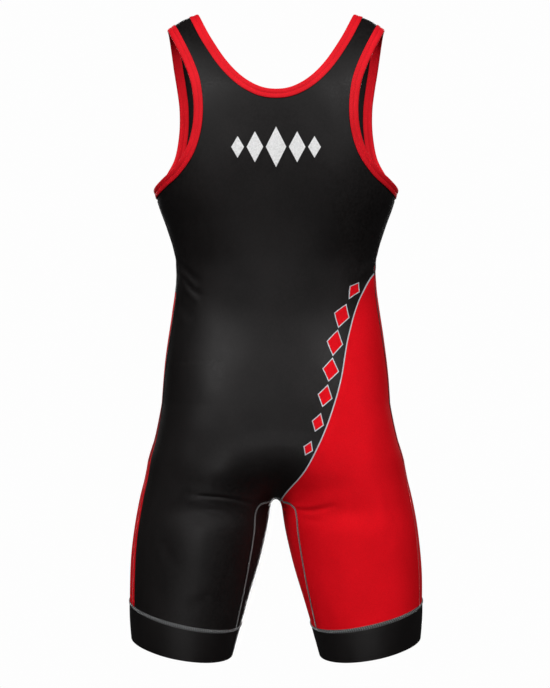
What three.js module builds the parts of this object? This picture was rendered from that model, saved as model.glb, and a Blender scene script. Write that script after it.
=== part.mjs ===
// Powerlifting singlet, filled out as when worn, with nobody in it.
// Millimetres. +Z up, the wearer's front faces -Y, the wearer's left is +X.
// Origin: midway between the two shoulder straps, at the height where they bear on the shoulders.
//
// The cloth follows one smooth surface: a chest, waist and seat made of rounded sections, closed over
// the shoulders and joined softly to two slanting thigh tubes. Every piece is cut out of that surface.
import * as THREE from "three";

// ---------- driving sizes ----------
const WALL = 1.2;              // knit cloth
const SEAM_GAP = 0.3;          // between neighbouring pieces
const BIND_WIDTH = 12;         // visible leaf of the neck and armhole bindings
const BIND_LEAF = 1.0;         // one leaf of folded binding
const CUFF_WALL = 1.6;         // folded hem band
const SHOULDER_FROM = -98;     // height at which the chest starts to close over the shoulders
const SHOULDER_TOP = 23.5;     // height at which the closed form would end on the axis
const SEAT_FROM = -570;        // height at which the seat starts to close under the crotch
const SEAT_END = -640;         // lowest point of that closing form
const BLEND_LEGS = 16;         // softness of the join between the two thighs
const BLEND_SEAT = 34;         // softness of the join between seat and thighs
const SEAM_FORWARD = 14;       // shoulder seam, forward of the ridge along the strap
const INSEAM_BACK = 26;        // where the inseams start, behind the lowest point of the crotch

// Trunk sections: half width, depth behind and before the middle, y of the middle, roundness.
const TRUNK = [
  { z:   30, half: 192, back:  62, front:  58, mid:  -2, round: 3 },
  { z:  -50, half: 192, back:  86, front:  80, mid:  -3, round: 2.8 },
  { z: -100, half: 190, back: 102, front:  96, mid:  -3, round: 2.5 },
  { z: -150, half: 185, back: 109, front: 107, mid:  -3, round: 2.4 },
  { z: -200, half: 174, back: 111, front: 115, mid:  -3, round: 2.4 },
  { z: -241, half: 163.5, back: 107, front: 115, mid: -3, round: 2.4 },
  { z: -282, half: 148.8, back: 99, front: 110, mid: -3, round: 2.35 },
  { z: -323, half: 138, back:  91, front: 102, mid:  -2, round: 2.3 },
  { z: -351, half: 138, back:  88, front:  99, mid:   0, round: 2.25 },
  { z: -392, half: 143, back: 88.5, front: 98, mid:  1, round: 2.25 },
  { z: -434, half: 148.8, back: 93.5, front: 100, mid:   3, round: 2.25 },
  { z: -480, half: 154, back: 104, front: 101, mid: 4, round: 2.3 },
  { z: -530, half: 155, back: 113.5, front: 101, mid:   5, round: 2.3 },
  { z: -572, half: 159, back: 115, front:  99, mid:   6, round: 2.3 },
  { z: -610, half: 165, back: 105, front:  96, mid:   7, round: 2.3 },
  { z: -660, half: 165, back:  96, front:  92, mid:   8, round: 2.3 },
];

// Thigh sections, one leg: centre, half width, half depth.
const THIGH = [
  { z: -520, cx:  78, half: 62, cy: 8, deep: 84 },
  { z: -572, cx:  83, half: 73.5, cy: 9, deep: 93 },
  { z: -600, cx:  88, half: 82.5, cy: 9, deep: 96 },
  { z: -627, cx:  92, half: 89, cy: 9, deep: 97 },
  { z: -682, cx: 101.8, half: 91.4, cy: 7, deep: 94 },
  { z: -737, cx: 111.1, half: 88.6, cy: 4, deep: 88 },
  { z: -793, cx: 120.2, half: 81.2, cy: 1, deep: 82 },
  { z: -848, cx: 126.6, half: 71.8, cy: -2, deep: 76 },
  { z: -880, cx: 129, half: 66, cy: -4, deep: 73 },
];
const THIGH_ROUND = 2.1;
const THIGH_TOP_FROM = -560, THIGH_TOP_END = -470;   // the thigh form closes inside the hips

// Finished edges, seen square from behind or before: distance from the middle, and height.
// The first row of each lies on the shoulder ridge, whose height the form gives.
const NECK_BACK = [
  { x: 107.5 }, { x: 94, z: -16.8 }, { x: 81.6, z: -38.6 }, { x: 69.2, z: -57.6 }, { x: 55.4, z: -74.2 },
  { x: 41, z: -87 }, { x: 25.6, z: -95.8 }, { x: 12, z: -100 }, { x: 0, z: -101 },
];
const NECK_FRONT = [
  { x: 107 }, { x: 98, z: -30 }, { x: 88, z: -75 }, { x: 74, z: -120 }, { x: 56, z: -157 },
  { x: 34, z: -180.5 }, { x: 15, z: -189.6 }, { x: 0, z: -190.8 },
];
const ARM_BACK = [
  { x: 148 }, { x: 131.5, z: -42.5 }, { x: 120.5, z: -67 }, { x: 112.4, z: -92 }, { x: 108.8, z: -122 },
  { x: 111, z: -152 }, { x: 120, z: -180.5 }, { x: 136, z: -203 }, { x: 153, z: -217 }, { z: -228 },
];
const ARM_FRONT = [
  { x: 148 }, { x: 143.2, z: -51 }, { x: 139, z: -80 }, { x: 136, z: -108 }, { x: 136.6, z: -140 },
  { x: 142.3, z: -175 }, { x: 154, z: -201 }, { z: -228 },
];

// Side seam: how far behind the middle plane it runs.
const SIDE_SEAM = [
  { z: -225, y: -3 }, { z: -282, y: 8 }, { z: -351, y: 22 }, { z: -461, y: 30 }, { z: -572, y: 36 },
  { z: -655, y: 40 }, { z: -740, y: 38 }, { z: -830, y: 32 },
];
// Inseam behind the inner thigh: distance from the middle and height.
const INSEAM = [
  { x: 9, z: -653.6 }, { x: 18, z: -655.5 }, { x: 24, z: -661.5 }, { x: 27.2, z: -673 }, { x: 30.4, z: -697 },
  { x: 37, z: -739 }, { x: 47, z: -789.6 }, { x: 53.8, z: -821 }, { x: 56, z: -832 },
];
// Planes of the cuff seam and of the leg opening: height on the leg's axis, rise outward, fall backward.
const CUFF_SEAM = { z: -809, out: 0.225, back: -0.13 };
const LEG_MOUTH = { z: -854.5, out: 0.18, back: -0.13 };

// Numbers of steps
const COLS = 11;               // across a half panel
const ROWS_STRAP_BACK = 8, ROWS_STRAP_FRONT = 10, ROWS_TO_ARMPIT = 14;
const ROWS_TRUNK = 7, ROWS_SEAT = 9, ROWS_LEG = 8, ROWS_CUFF = 2;
const HIP_LINE = -440;         // rows below this start to lean towards the legs
const SIDE_AT_CROTCH = -622;   // side seam height of the row that starts at the crotch
const ARMPIT_DIP = 18;         // how far the rows that end under the armhole swing below it
const CROTCH_DIP = 15;         // how far the front rows pass below the crotch before they round the thigh
const CROTCH_LIFT = 5;         // how far the back rows rise beside it

// ---------- small helpers ----------
const V = (x, y, z) => new THREE.Vector3(x, y, z);
const clamp = (v, a, b) => Math.min(b, Math.max(a, v));
const smooth = (t) => t * t * (3 - 2 * t);

function slopes(rows, arg, key) {
  const n = rows.length, m = [];
  for (let i = 0; i < n; i++) {
    const a = Math.max(0, i - 1), b = Math.min(n - 1, i + 1);
    m.push((rows[b][key] - rows[a][key]) / (rows[b][arg] - rows[a][arg]));
  }
  return m;
}
// smooth reading of a table by height
function column(rows, key) {
  const r = [...rows].sort((a, b) => a.z - b.z), m = slopes(r, "z", key);
  return (z) => {
    if (z <= r[0].z) return r[0][key];
    if (z >= r[r.length - 1].z) return r[r.length - 1][key];
    let i = 0;
    while (z > r[i + 1].z) i++;
    const h = r[i + 1].z - r[i].z, t = (z - r[i].z) / h, t2 = t * t, t3 = t2 * t;
    return (2 * t3 - 3 * t2 + 1) * r[i][key] + (t3 - 2 * t2 + t) * h * m[i]
      + (3 * t2 - 2 * t3) * r[i + 1][key] + (t3 - t2) * h * m[i + 1];
  };
}
const trunk = Object.fromEntries(["half", "back", "front", "mid", "round"].map((k) => [k, column(TRUNK, k)]));
const thigh = Object.fromEntries(["cx", "half", "cy", "deep"].map((k) => [k, column(THIGH, k)]));
const sideSeamY = column(SIDE_SEAM, "y");

// ---------- the worn form ----------
const overShoulder = (z) => Math.max(0, (z - SHOULDER_FROM) / (SHOULDER_TOP - SHOULDER_FROM));
const underSeat = (z) => Math.max(0, (SEAT_FROM - z) / (SEAT_FROM - SEAT_END));

function trunkForm(x, y, z) {
  const w = trunk.half(z), m = trunk.mid(z), d = y > m ? trunk.back(z) : trunk.front(z), n = trunk.round(z);
  const f = (Math.abs(x) / w) ** n + (Math.abs(y - m) / d) ** n + overShoulder(z) ** 2 + underSeat(z) ** 2.5;
  return (f ** (1 / n) - 1) * Math.min(w, d);
}
function thighForm(x, y, z) {
  const a = thigh.half(z), b = thigh.deep(z), p = THIGH_ROUND;
  const cap = Math.max(0, (z - THIGH_TOP_FROM) / (THIGH_TOP_END - THIGH_TOP_FROM));
  const f = (Math.abs(x - thigh.cx(z)) / a) ** p + (Math.abs(y - thigh.cy(z)) / b) ** p + cap ** 2;
  return (f ** (1 / p) - 1) * Math.min(a, b);
}
function softMin(a, b, k) {
  const h = Math.max(0, k - Math.abs(a - b)) / k;
  return Math.min(a, b) - h * h * k / 4;
}
// negative inside, zero on the outer face of the cloth
function form(p) {
  const t = trunkForm(p.x, p.y, p.z);
  if (p.z > THIGH_TOP_END + 5) return t;
  return softMin(t, softMin(thighForm(p.x, p.y, p.z), thighForm(-p.x, p.y, p.z), BLEND_LEGS), BLEND_SEAT);
}
function slope(p) {
  const h = 0.05, g = V(0, 0, 0);
  for (const k of ["x", "y", "z"]) {
    const a = p.clone(), b = p.clone();
    a[k] += h; b[k] -= h;
    g[k] = (form(a) - form(b)) / (2 * h);
  }
  return g;
}
const normalAt = (p) => slope(p).normalize();
function ontoForm(p) {
  const q = p.clone();
  for (let i = 0; i < 8; i++) {
    const g = slope(q);
    q.addScaledVector(g, -form(q) / Math.max(1e-6, g.lengthSq()));
  }
  return q;
}
// first crossing of the form along a ray that starts inside it
function cast(from, dir) {
  const d = dir.clone().normalize(), at = (s) => from.clone().addScaledVector(d, s);
  let a = 0, b = 2;
  while (form(at(b)) < 0 && b < 500) { a = b; b += 2; }
  for (let i = 0; i < 40; i++) {
    const c = (a + b) / 2;
    if (form(at(c)) < 0) a = c; else b = c;
  }
  return at((a + b) / 2);
}

// ---------- edge lines on the form ----------
const rest = (x, z) => 1 - (Math.abs(x) / trunk.half(z)) ** trunk.round(z) - overShoulder(z) ** 2;
function depthAt(x, z, side) {
  const d = side > 0 ? trunk.back(z) : trunk.front(z);
  return trunk.mid(z) + side * d * Math.max(0, rest(x, z)) ** (1 / trunk.round(z));
}
function ridgeHeight(x) {
  let a = SHOULDER_FROM, b = SHOULDER_TOP;
  for (let i = 0; i < 50; i++) { const c = (a + b) / 2; if (rest(x, c) > 0) a = c; else b = c; }
  return (a + b) / 2;
}
// dense 3-D samples of an edge table, from the ridge to its lowest point
function edgeSamples(rows, side, count = 400) {
  const pts = rows.map((r, i) => new THREE.Vector2(
    r.x === undefined ? trunk.half(r.z) : r.x,
    r.z === undefined ? ridgeHeight(r.x) : r.z));
  const line = new THREE.SplineCurve(pts);
  const out = [];
  for (let i = 0; i <= count; i++) {
    const s = (1 - Math.cos(Math.PI * i / count)) / 2, q = line.getPoint(s);
    out.push(V(q.x, depthAt(q.x, q.y, side), q.y));
  }
  return out;
}
// a polyline read by arc length
function ruler(points) {
  const s = [0];
  for (let i = 1; i < points.length; i++) s.push(s[i - 1] + points[i].distanceTo(points[i - 1]));
  const length = s[s.length - 1];
  const at = (d) => {
    const t = clamp(d, 0, length);
    let lo = 0, hi = s.length - 1;
    while (hi - lo > 1) { const c = (lo + hi) >> 1; if (s[c] <= t) lo = c; else hi = c; }
    return points[lo].clone().lerp(points[hi], (t - s[lo]) / Math.max(1e-9, s[hi] - s[lo]));
  };
  return { length, at, s };
}
// an edge round the garment: back part upward to the ridge, then front part downward
function edgeLoop(backRows, frontRows) {
  const back = edgeSamples(backRows, 1).reverse(), front = edgeSamples(frontRows, -1).slice(1);
  const r = ruler([...back, ...front]);
  r.seam = r.s[back.length - 1] + SEAM_FORWARD;
  return r;
}
const neckLine = edgeLoop(NECK_BACK, NECK_FRONT);
const armLine = edgeLoop(ARM_BACK, ARM_FRONT);

// an edge station: the finished edge, the point a binding's width inside it, and outward normals
function station(line, s, opening, endTangent) {
  const e = ontoForm(line.at(s)), h = 4;
  const t = endTangent ?? line.at(s + h).sub(line.at(s - h));
  const n = normalAt(e), q = n.clone().cross(t).normalize();
  if (opening === "arm") q.negate();
  const i = ontoForm(e.clone().addScaledVector(q, BIND_WIDTH));
  if (endTangent && opening === "neck") { e.x = 0; i.x = 0; }
  return { edge: e, inner: i, nEdge: normalAt(e), nInner: normalAt(i) };
}
const spaced = (a, b, n, ease = 1) => Array.from({ length: n + 1 }, (_, i) => a + (b - a) * (1 - (1 - i / n) ** ease));

function neckStations(from, to, n) {
  return spaced(from, to, n).map((s) => {
    const end = s < 1e-6 ? V(1, 0, 0) : s > neckLine.length - 1e-6 ? V(-1, 0, 0) : undefined;
    return station(neckLine, s, "neck", end);
  });
}
function armStations(values) {
  return values.map((s) => {
    const end = s < 1e-6 || s > armLine.length - 1e-6
      ? armLine.at(4).sub(armLine.at(armLine.length - 4)) : undefined;
    return station(armLine, s, "arm", end);
  });
}
// share of the armhole passed by the rows that start on the neck strip
const armBackSplit = armLine.seam * 0.47, armFrontSplit = armLine.seam + (armLine.length - armLine.seam) * 0.74;
const ranked = (list) => list.map((st, rank) => ({ ...st, rank }));
const neckBack = ranked(neckStations(neckLine.seam, 0, ROWS_STRAP_BACK));
const neckFront = ranked(neckStations(neckLine.seam, neckLine.length, ROWS_STRAP_FRONT));
const armBack = ranked(armStations([
  ...spaced(armLine.seam, armBackSplit, ROWS_STRAP_BACK),
  ...spaced(armBackSplit, 0, ROWS_TO_ARMPIT - ROWS_STRAP_BACK, 1.6).slice(1)]));
const armFront = ranked(armStations([
  ...spaced(armLine.seam, armFrontSplit, ROWS_STRAP_FRONT),
  ...spaced(armFrontSplit, armLine.length, ROWS_TO_ARMPIT - ROWS_STRAP_FRONT, 1.6).slice(1)]));

// ---------- rows across a half panel ----------
// how far the thigh's own section reaches from its axis at angle a
function girth(a, z) {
  const p = THIGH_ROUND;
  return (Math.abs(Math.cos(a) / thigh.half(z)) ** p + Math.abs(Math.sin(a) / thigh.deep(z)) ** p) ** (-1 / p);
}
// points from start to end round a centre, on the form; lean gives the plane of the row, dip and rise
// bend it near its end and near its start
function rowPoints(centre, start, end, side, lean = { out: 0, back: 0 }, nearThigh = false, cols = COLS) {
  const rel = (p) => { const d = p.clone().sub(centre); return { a: Math.atan2(d.y, d.x), r: Math.hypot(d.x, d.y), z: d.z }; };
  const S = rel(start), E = rel(end);
  let a0 = S.a, a1 = E.a;
  if (side > 0 && a0 < -0.6) a0 += 2 * Math.PI;
  if (side < 0 && a0 > 0.6) a0 -= 2 * Math.PI;
  const plane = (a) => lean.out * Math.cos(a) + lean.back * Math.sin(a);
  const k0 = S.z / S.r - plane(a0), k1 = E.z / E.r - plane(a1);
  const out = [start.clone()];
  for (let i = 1; i < cols; i++) {
    const t = i / cols, a = a0 + (a1 - a0) * t;
    const k = plane(a) + k0 * (1 - t) + k1 * t
      - (lean.dip ?? 0) / E.r * 14.9 * t ** 5 * (1 - t)
      + (lean.rise ?? 0) / S.r * t / 0.12 * Math.exp(1 - t / 0.12) * (1 - t);
    const dir = V(Math.cos(a), Math.sin(a), k);
    if (!nearThigh) { out.push(cast(centre, dir)); continue; }
    const far = girth(a, centre.z) + (S.r - girth(a0, centre.z)) * Math.exp(-t / 0.05)
      + (E.r - girth(a1, centre.z)) * t * t;
    out.push(ontoForm(centre.clone().addScaledVector(dir, far)));
  }
  out.push(end.clone());
  return out;
}

// the middle line of the garment below the hip line, read by arc length from the back round to the front
const MIDDLE_HUB = V(0, 6, -545);
function middleLine() {
  const pts = [];
  for (let i = 0; i <= 720; i++) {
    const a = 1.35 - i / 720 * (Math.PI + 2.7);
    const p = cast(MIDDLE_HUB, V(0, Math.cos(a), Math.sin(a)));
    if (p.z <= HIP_LINE + 2) pts.push(p);
  }
  return ruler(pts);
}
const middle = middleLine();
const middleLow = (() => {
  let best = 0;
  for (let d = 0; d <= middle.length; d += 0.5) if (middle.at(d).z < middle.at(best).z) best = d;
  return best;
})();
const middleAtHip = (side) => {
  let d = side > 0 ? 0 : middle.length;
  while (middle.at(d).z > HIP_LINE) d += side * 0.1;
  return d;
};
const crotchAt = middleLow - INSEAM_BACK;
const crotch = middle.at(crotchAt);
crotch.x = 0;

const sidePoint = (z) => {
  const y = sideSeamY(z), x0 = z > -600 ? 0 : thigh.cx(z);
  return cast(V(x0, y, z), V(1, 0, 0));
};
const axisPoint = (z) => V(thigh.cx(z), thigh.cy(z), z);
const planeHeight = (pl, p) => pl.z + pl.out * (p.x - thigh.cx(pl.z)) + pl.back * (p.y - thigh.cy(pl.z));

// the inseam as a ruler that stops at the cuff seam
function inseamLine() {
  const ctrl = [crotch, ...INSEAM.map((r) => cast(V(r.x, thigh.cy(r.z), r.z), V(0, 1, 0)))];
  const line = new THREE.CatmullRomCurve3(ctrl, false, "centripetal");
  const pts = [];
  for (let i = 0; i <= 600; i++) {
    const p = ontoForm(line.getPoint(i / 600));
    if (i === 0) p.copy(crotch);
    if (p.z < planeHeight(CUFF_SEAM, p)) break;
    pts.push(p);
  }
  return ruler(pts);
}
const inseam = inseamLine();
const sideAtCuff = (() => {
  let a = -830, b = -740;
  for (let i = 0; i < 40; i++) {
    const c = (a + b) / 2, p = sidePoint(c);
    if (p.z < planeHeight(CUFF_SEAM, p)) a = c; else b = c;
  }
  return (a + b) / 2;
})();

// all rows of a half panel (x >= 0); side +1 is the back, -1 the front
function halfPanel(side) {
  const neck = side > 0 ? neckBack : neckFront, arm = side > 0 ? armBack : armFront;
  const rows = [];
  const armpit = arm[arm.length - 1].inner;
  const strapRows = neck.length - 1;
  const hub = (z) => V(0, trunk.mid(z), z);
  for (let i = 0; i <= ROWS_TO_ARMPIT; i++) {
    const end = arm[i].inner;
    let start, c;
    if (i <= strapRows) {
      start = neck[i].inner;
      c = hub(Math.min(-125, THREE.MathUtils.lerp(-125, neck[strapRows].inner.z, i / strapRows)));
    } else {
      const z0 = neck[strapRows].inner.z, t = (i - strapRows) / (ROWS_TO_ARMPIT - strapRows);
      const z = THREE.MathUtils.lerp(z0, armpit.z - ARMPIT_DIP, t);
      start = V(0, depthAt(0, z, side), z);
      c = hub(Math.min(-125, z));
    }
    const dip = ARMPIT_DIP * clamp((i - ROWS_TO_ARMPIT + 5) / 5, 0, 1);
    rows.push(rowPoints(c, start, end, side, { out: 0, back: 0, dip }));
  }
  for (let i = 1; i <= ROWS_TRUNK; i++) {
    const t = i / ROWS_TRUNK, z = THREE.MathUtils.lerp(armpit.z - ARMPIT_DIP, HIP_LINE, t);
    rows.push(rowPoints(hub(z), V(0, depthAt(0, z, side), z),
      sidePoint(THREE.MathUtils.lerp(armpit.z, HIP_LINE, t)), side));
  }
  // rows leave the middle line and the inseam squarely: bent down in front, up behind
  const bend = (i) => (side < 0 ? -CROTCH_DIP : CROTCH_LIFT) * Math.max(0, 1 - Math.abs(i) / (i < 0 ? 1.6 : 3.5));
  const hip = middleAtHip(side);
  for (let i = 1; i <= ROWS_SEAT; i++) {
    const t = i / ROWS_SEAT, zs = THREE.MathUtils.lerp(HIP_LINE, SIDE_AT_CROTCH, t);
    const start = middle.at(THREE.MathUtils.lerp(hip, crotchAt, t));
    start.x = 0;
    const w = smooth(clamp(t * 1.15, 0, 1));
    const c = hub(zs).lerp(V(thigh.cx(zs), thigh.cy(zs), zs), w);
    rows.push(rowPoints(c, i === ROWS_SEAT ? crotch : start, sidePoint(zs), side,
      { out: 0.1 * w, back: -0.03 * w, rise: bend(i - ROWS_SEAT) }, t > 0.6));
  }
  for (let i = 1; i <= ROWS_LEG; i++) {
    const t = i / ROWS_LEG, zs = THREE.MathUtils.lerp(SIDE_AT_CROTCH, sideAtCuff, t);
    const start = inseam.at(inseam.length * t ** 1.35), end = sidePoint(zs);
    const z = THREE.MathUtils.lerp(SIDE_AT_CROTCH - 8, CUFF_SEAM.z, t);
    const lean = { out: THREE.MathUtils.lerp(0.1, CUFF_SEAM.out, t),
      back: THREE.MathUtils.lerp(-0.03, CUFF_SEAM.back, t), rise: bend(i) };
    rows.push(rowPoints(axisPoint(z), start, end, side, lean, true));
  }
  return { rows, neck, arm, strapRows };
}

// moves the seam edges of a half panel half a seam gap inward along the cloth
function withSeamGaps(half) {
  const { rows } = half, g = SEAM_GAP / 2, last = rows.length - 1;
  const toward = (p, q) => p.addScaledVector(q.clone().sub(p).normalize(), g);
  const src = rows.map((r) => r.map((p) => p.clone()));
  const away = (p, along, inside) => {
    const n = normalAt(p), q = n.cross(along).normalize();
    return q.dot(inside.clone().sub(p)) < 0 ? q.negate() : q;
  };
  const firstLeg = rows.length - ROWS_LEG;
  for (let i = ROWS_TO_ARMPIT; i <= last; i++) {
    const a = src[Math.max(ROWS_TO_ARMPIT, i - 1)][COLS], b = src[Math.min(last, i + 1)][COLS];
    rows[i][COLS].addScaledVector(away(src[i][COLS], b.clone().sub(a), src[i][COLS - 1]), g);
  }
  for (let i = firstLeg; i <= last; i++) {
    const a = i === firstLeg ? crotch : src[i - 1][0], b = src[Math.min(last, i + 1)][0];
    rows[i][0].addScaledVector(away(src[i][0], b.clone().sub(a), src[i][1]), g);
  }
  // the two inseams meet at a point: it backs off further, as a mitre does
  const c = rows[firstLeg - 1][0], up = src[firstLeg - 2][0].clone().sub(c).normalize();
  const along = src[firstLeg][0].clone().sub(c).normalize();
  c.addScaledVector(up, g / Math.max(0.2, up.clone().cross(along).length()));
  for (let k = 0; k <= COLS; k++) toward(rows[last][k], src[last - 1][k]);
  for (let k = 0; k <= COLS; k++) toward(rows[0][k], src[1][k]);
  return half;
}

// ---------- solids ----------
class Sheet {
  constructor() { this.p = []; this.n = []; this.f = []; this.key = new Map(); }
  add(p, n) {
    const k = [p.x, p.y, p.z].map((v) => Math.round(v * 1000)).join();
    if (!this.key.has(k)) { this.key.set(k, this.p.length); this.p.push(p.clone()); this.n.push(n.clone()); }
    return this.key.get(k);
  }
  tri(a, b, c) { if (a !== b && b !== c && a !== c) this.f.push([a, b, c]); }
  quad(a, b, c, d) { this.tri(a, b, c); this.tri(a, c, d); }
}
function toMesh(name, pos, tri, look) {
  const g = new THREE.BufferGeometry();
  g.setAttribute("position", new THREE.Float32BufferAttribute(pos.flatMap((p) => [p.x, p.y, p.z]), 3));
  g.setIndex(tri.flat());
  g.computeVertexNormals();
  const m = new THREE.Mesh(g, new THREE.MeshStandardMaterial(look));
  m.name = name;
  return m;
}
// a sheet given a wall inward of its points
function shell(sheet, wall) {
  const n = sheet.p.length, pos = [...sheet.p, ...sheet.p.map((p, i) => p.clone().addScaledVector(sheet.n[i], -wall))];
  const tri = [], open = new Map();
  for (const [a, b, c] of sheet.f) {
    tri.push([a, b, c], [a + n, c + n, b + n]);
    for (const [u, v] of [[a, b], [b, c], [c, a]]) {
      if (open.has(v + "," + u)) open.delete(v + "," + u); else open.set(u + "," + v, [u, v]);
    }
  }
  // neighbours across a seam split their edge walls along the same diagonal
  const rank = (i) => pos[i].z + Math.abs(pos[i].x) + 0.2 * pos[i].y;
  for (const [u, v] of open.values())
    if (rank(u) > rank(v)) tri.push([v, u, u + n], [v, u + n, v + n]); else tri.push([v, u, v + n], [u, u + n, v + n]);
  return { pos, tri };
}
const mirrored = (p) => V(-p.x, p.y, p.z);

function panelSheet(side) {
  const { rows, neck, arm, strapRows } = withSeamGaps(halfPanel(side));
  const sheet = new Sheet();
  for (const m of [1, -1]) {
    const put = (p) => {
      const n = normalAt(p);
      return m > 0 ? sheet.add(p, n) : sheet.add(mirrored(p), mirrored(n));
    };
    const flip = (side > 0) === (m > 0);
    const quad = (a, b, c, d) => flip ? sheet.quad(a, b, c, d) : sheet.quad(a, d, c, b);
    const id = rows.map((r) => r.map(put));
    for (let i = 0; i + 1 < id.length; i++)
      for (let k = 0; k < COLS; k++) quad(id[i][k], id[i][k + 1], id[i + 1][k + 1], id[i + 1][k]);
    // strips under the bindings, cut back a seam gap from the fold
    const cut = (st, firstRow) => {
      const p = st.edge.clone().addScaledVector(st.inner.clone().sub(st.edge).normalize(), SEAM_GAP);
      return p;
    };
    const strip = (stations, col) => {
      const e = stations.map((st, i) => {
        const p = cut(st);
        if (i === 0) p.addScaledVector(stations[1].edge.clone().sub(stations[0].edge).normalize(), SEAM_GAP / 2);
        if (col === COLS && i === stations.length - 1)
          p.addScaledVector(stations[i - 1].edge.clone().sub(stations[i].edge).normalize(), SEAM_GAP / 2);
        return put(p);
      });
      for (let i = 0; i + 1 < stations.length; i++) {
        if (col === 0) quad(e[i], id[i][0], id[i + 1][0], e[i + 1]);
        else quad(e[i], e[i + 1], id[i + 1][col], id[i][col]);
      }
    };
    strip(neck, 0);
    strip(arm, COLS);
  }
  return sheet;
}

// binding: a folded strip that holds the cloth edge between two leaves, round a closed run of stations
function binding(name, stations, look) {
  const g = SEAM_GAP, t = BIND_LEAF, pos = [], tri = [];
  for (const st of stations) {
    const out = st.edge.clone().sub(st.inner).normalize();
    const at = (base, n, h, e = 0) => base.clone().addScaledVector(n, h).addScaledVector(out, e);
    pos.push(
      at(st.inner, st.nInner, g + t), at(st.edge, st.nEdge, g + t, t),
      at(st.edge, st.nEdge, -WALL - g - t, t), at(st.inner, st.nInner, -WALL - g - t),
      at(st.inner, st.nInner, -WALL - g), at(st.edge, st.nEdge, -WALL - g),
      at(st.edge, st.nEdge, g), at(st.inner, st.nInner, g));
  }
  const n = stations.length;
  for (let i = 0; i < n; i++) {
    const a = i * 8, b = ((i + 1) % n) * 8;
    for (let k = 0; k < 8; k++) {
      const p = a + k, q = a + (k + 1) % 8, r = b + (k + 1) % 8, s = b + k;
      // the same diagonal as the cloth under the leaf: finished edge nearer the shoulder, inner line further
      const edgeFirst = k === 2 || k === 6 ? stations[i].rank < stations[(i + 1) % n].rank
        : stations[i].rank > stations[(i + 1) % n].rank;
      if (edgeFirst) tri.push([p, q, r], [p, r, s]); else tri.push([p, q, s], [q, r, s]);
    }
  }
  return { pos, tri };
}
function outward(solid) {
  let v = 0;
  for (const [a, b, c] of solid.tri) v += solid.pos[a].dot(solid.pos[b].clone().cross(solid.pos[c]));
  if (v < 0) solid.tri = solid.tri.map(([a, b, c]) => [a, c, b]);
  return solid;
}
const flipX = (solid) => ({ pos: solid.pos.map(mirrored), tri: solid.tri.map(([a, b, c]) => [a, c, b]) });

function neckBinding() {
  const half = [...[...neckBack].reverse(), ...neckFront.slice(1)];
  const other = half.slice(1, -1).reverse().map((s) => ({
    edge: mirrored(s.edge), inner: mirrored(s.inner), nEdge: mirrored(s.nEdge), nInner: mirrored(s.nInner), rank: s.rank }));
  return outward(binding("neck_binding", [...half, ...other]));
}
function armBinding() {
  return outward(binding("arm", [...armBack, ...[...armFront].reverse().slice(1, -1)]));
}
function cuff() {
  const back = halfPanel(1).rows.at(-1), front = halfPanel(-1).rows.at(-1);
  const ring = [...back, ...[...front].reverse().slice(1, -1)];
  const centreTop = axisPoint(CUFF_SEAM.z), n = ring.length, levels = [];
  for (let j = 0; j <= ROWS_CUFF; j++) {
    const t = j / ROWS_CUFF, z = THREE.MathUtils.lerp(CUFF_SEAM.z, LEG_MOUTH.z, t);
    const out = THREE.MathUtils.lerp(CUFF_SEAM.out, LEG_MOUTH.out, t), c = axisPoint(z);
    levels.push(j === 0 ? ring.map((p) => p.clone()) : ring.map((p) => {
      const a = Math.atan2(p.y - centreTop.y, p.x - centreTop.x);
      return cast(c, V(Math.cos(a), Math.sin(a), out * Math.cos(a) + CUFF_SEAM.back * Math.sin(a)));
    }));
  }
  levels[0].forEach((p, i) => p.addScaledVector(levels[1][i].clone().sub(p).normalize(), SEAM_GAP / 2));
  const sheet = new Sheet(), id = levels.map((l) => l.map((p) => sheet.add(p, normalAt(p))));
  for (let j = 0; j < ROWS_CUFF; j++)
    for (let i = 0; i < n; i++) {
      const k = (i + 1) % n;
      sheet.quad(id[j][i], id[j][k], id[j + 1][k], id[j + 1][i]);
    }
  return outward(shell(sheet, CUFF_WALL));
}

// ---------- the garment ----------
const BLACK = { color: 0x1c1b1b, roughness: 0.82, metalness: 0 };
const RED = { color: 0xd3121f, roughness: 0.7, metalness: 0 };
const group = new THREE.Group();
const add = (name, solid, look) => group.add(toMesh(name, solid.pos, solid.tri, look));
add("back_panel", outward(shell(panelSheet(1), WALL)), BLACK);
add("front_panel", outward(shell(panelSheet(-1), WALL)), BLACK);
add("neck_binding", neckBinding(), RED);
const arm = armBinding();
add("armhole_binding_left", arm, RED);
add("armhole_binding_right", flipX(arm), RED);
const band = cuff();
add("leg_cuff_left", band, BLACK);
add("leg_cuff_right", flipX(band), BLACK);

export default group;
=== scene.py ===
# Powerlifting singlet, the looks. Shape code is in millimetres, Blender objects are in metres.
# +Z up, the wearer's front faces -Y, the wearer's left is +X. The camera stands behind the garment.
#
# Every piece of cloth is a thin shell on the same worn form as the CAD solids, cut at about 2 mm,
# with its creases worked out from short tables. Threads are real geometry.
import math

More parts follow.
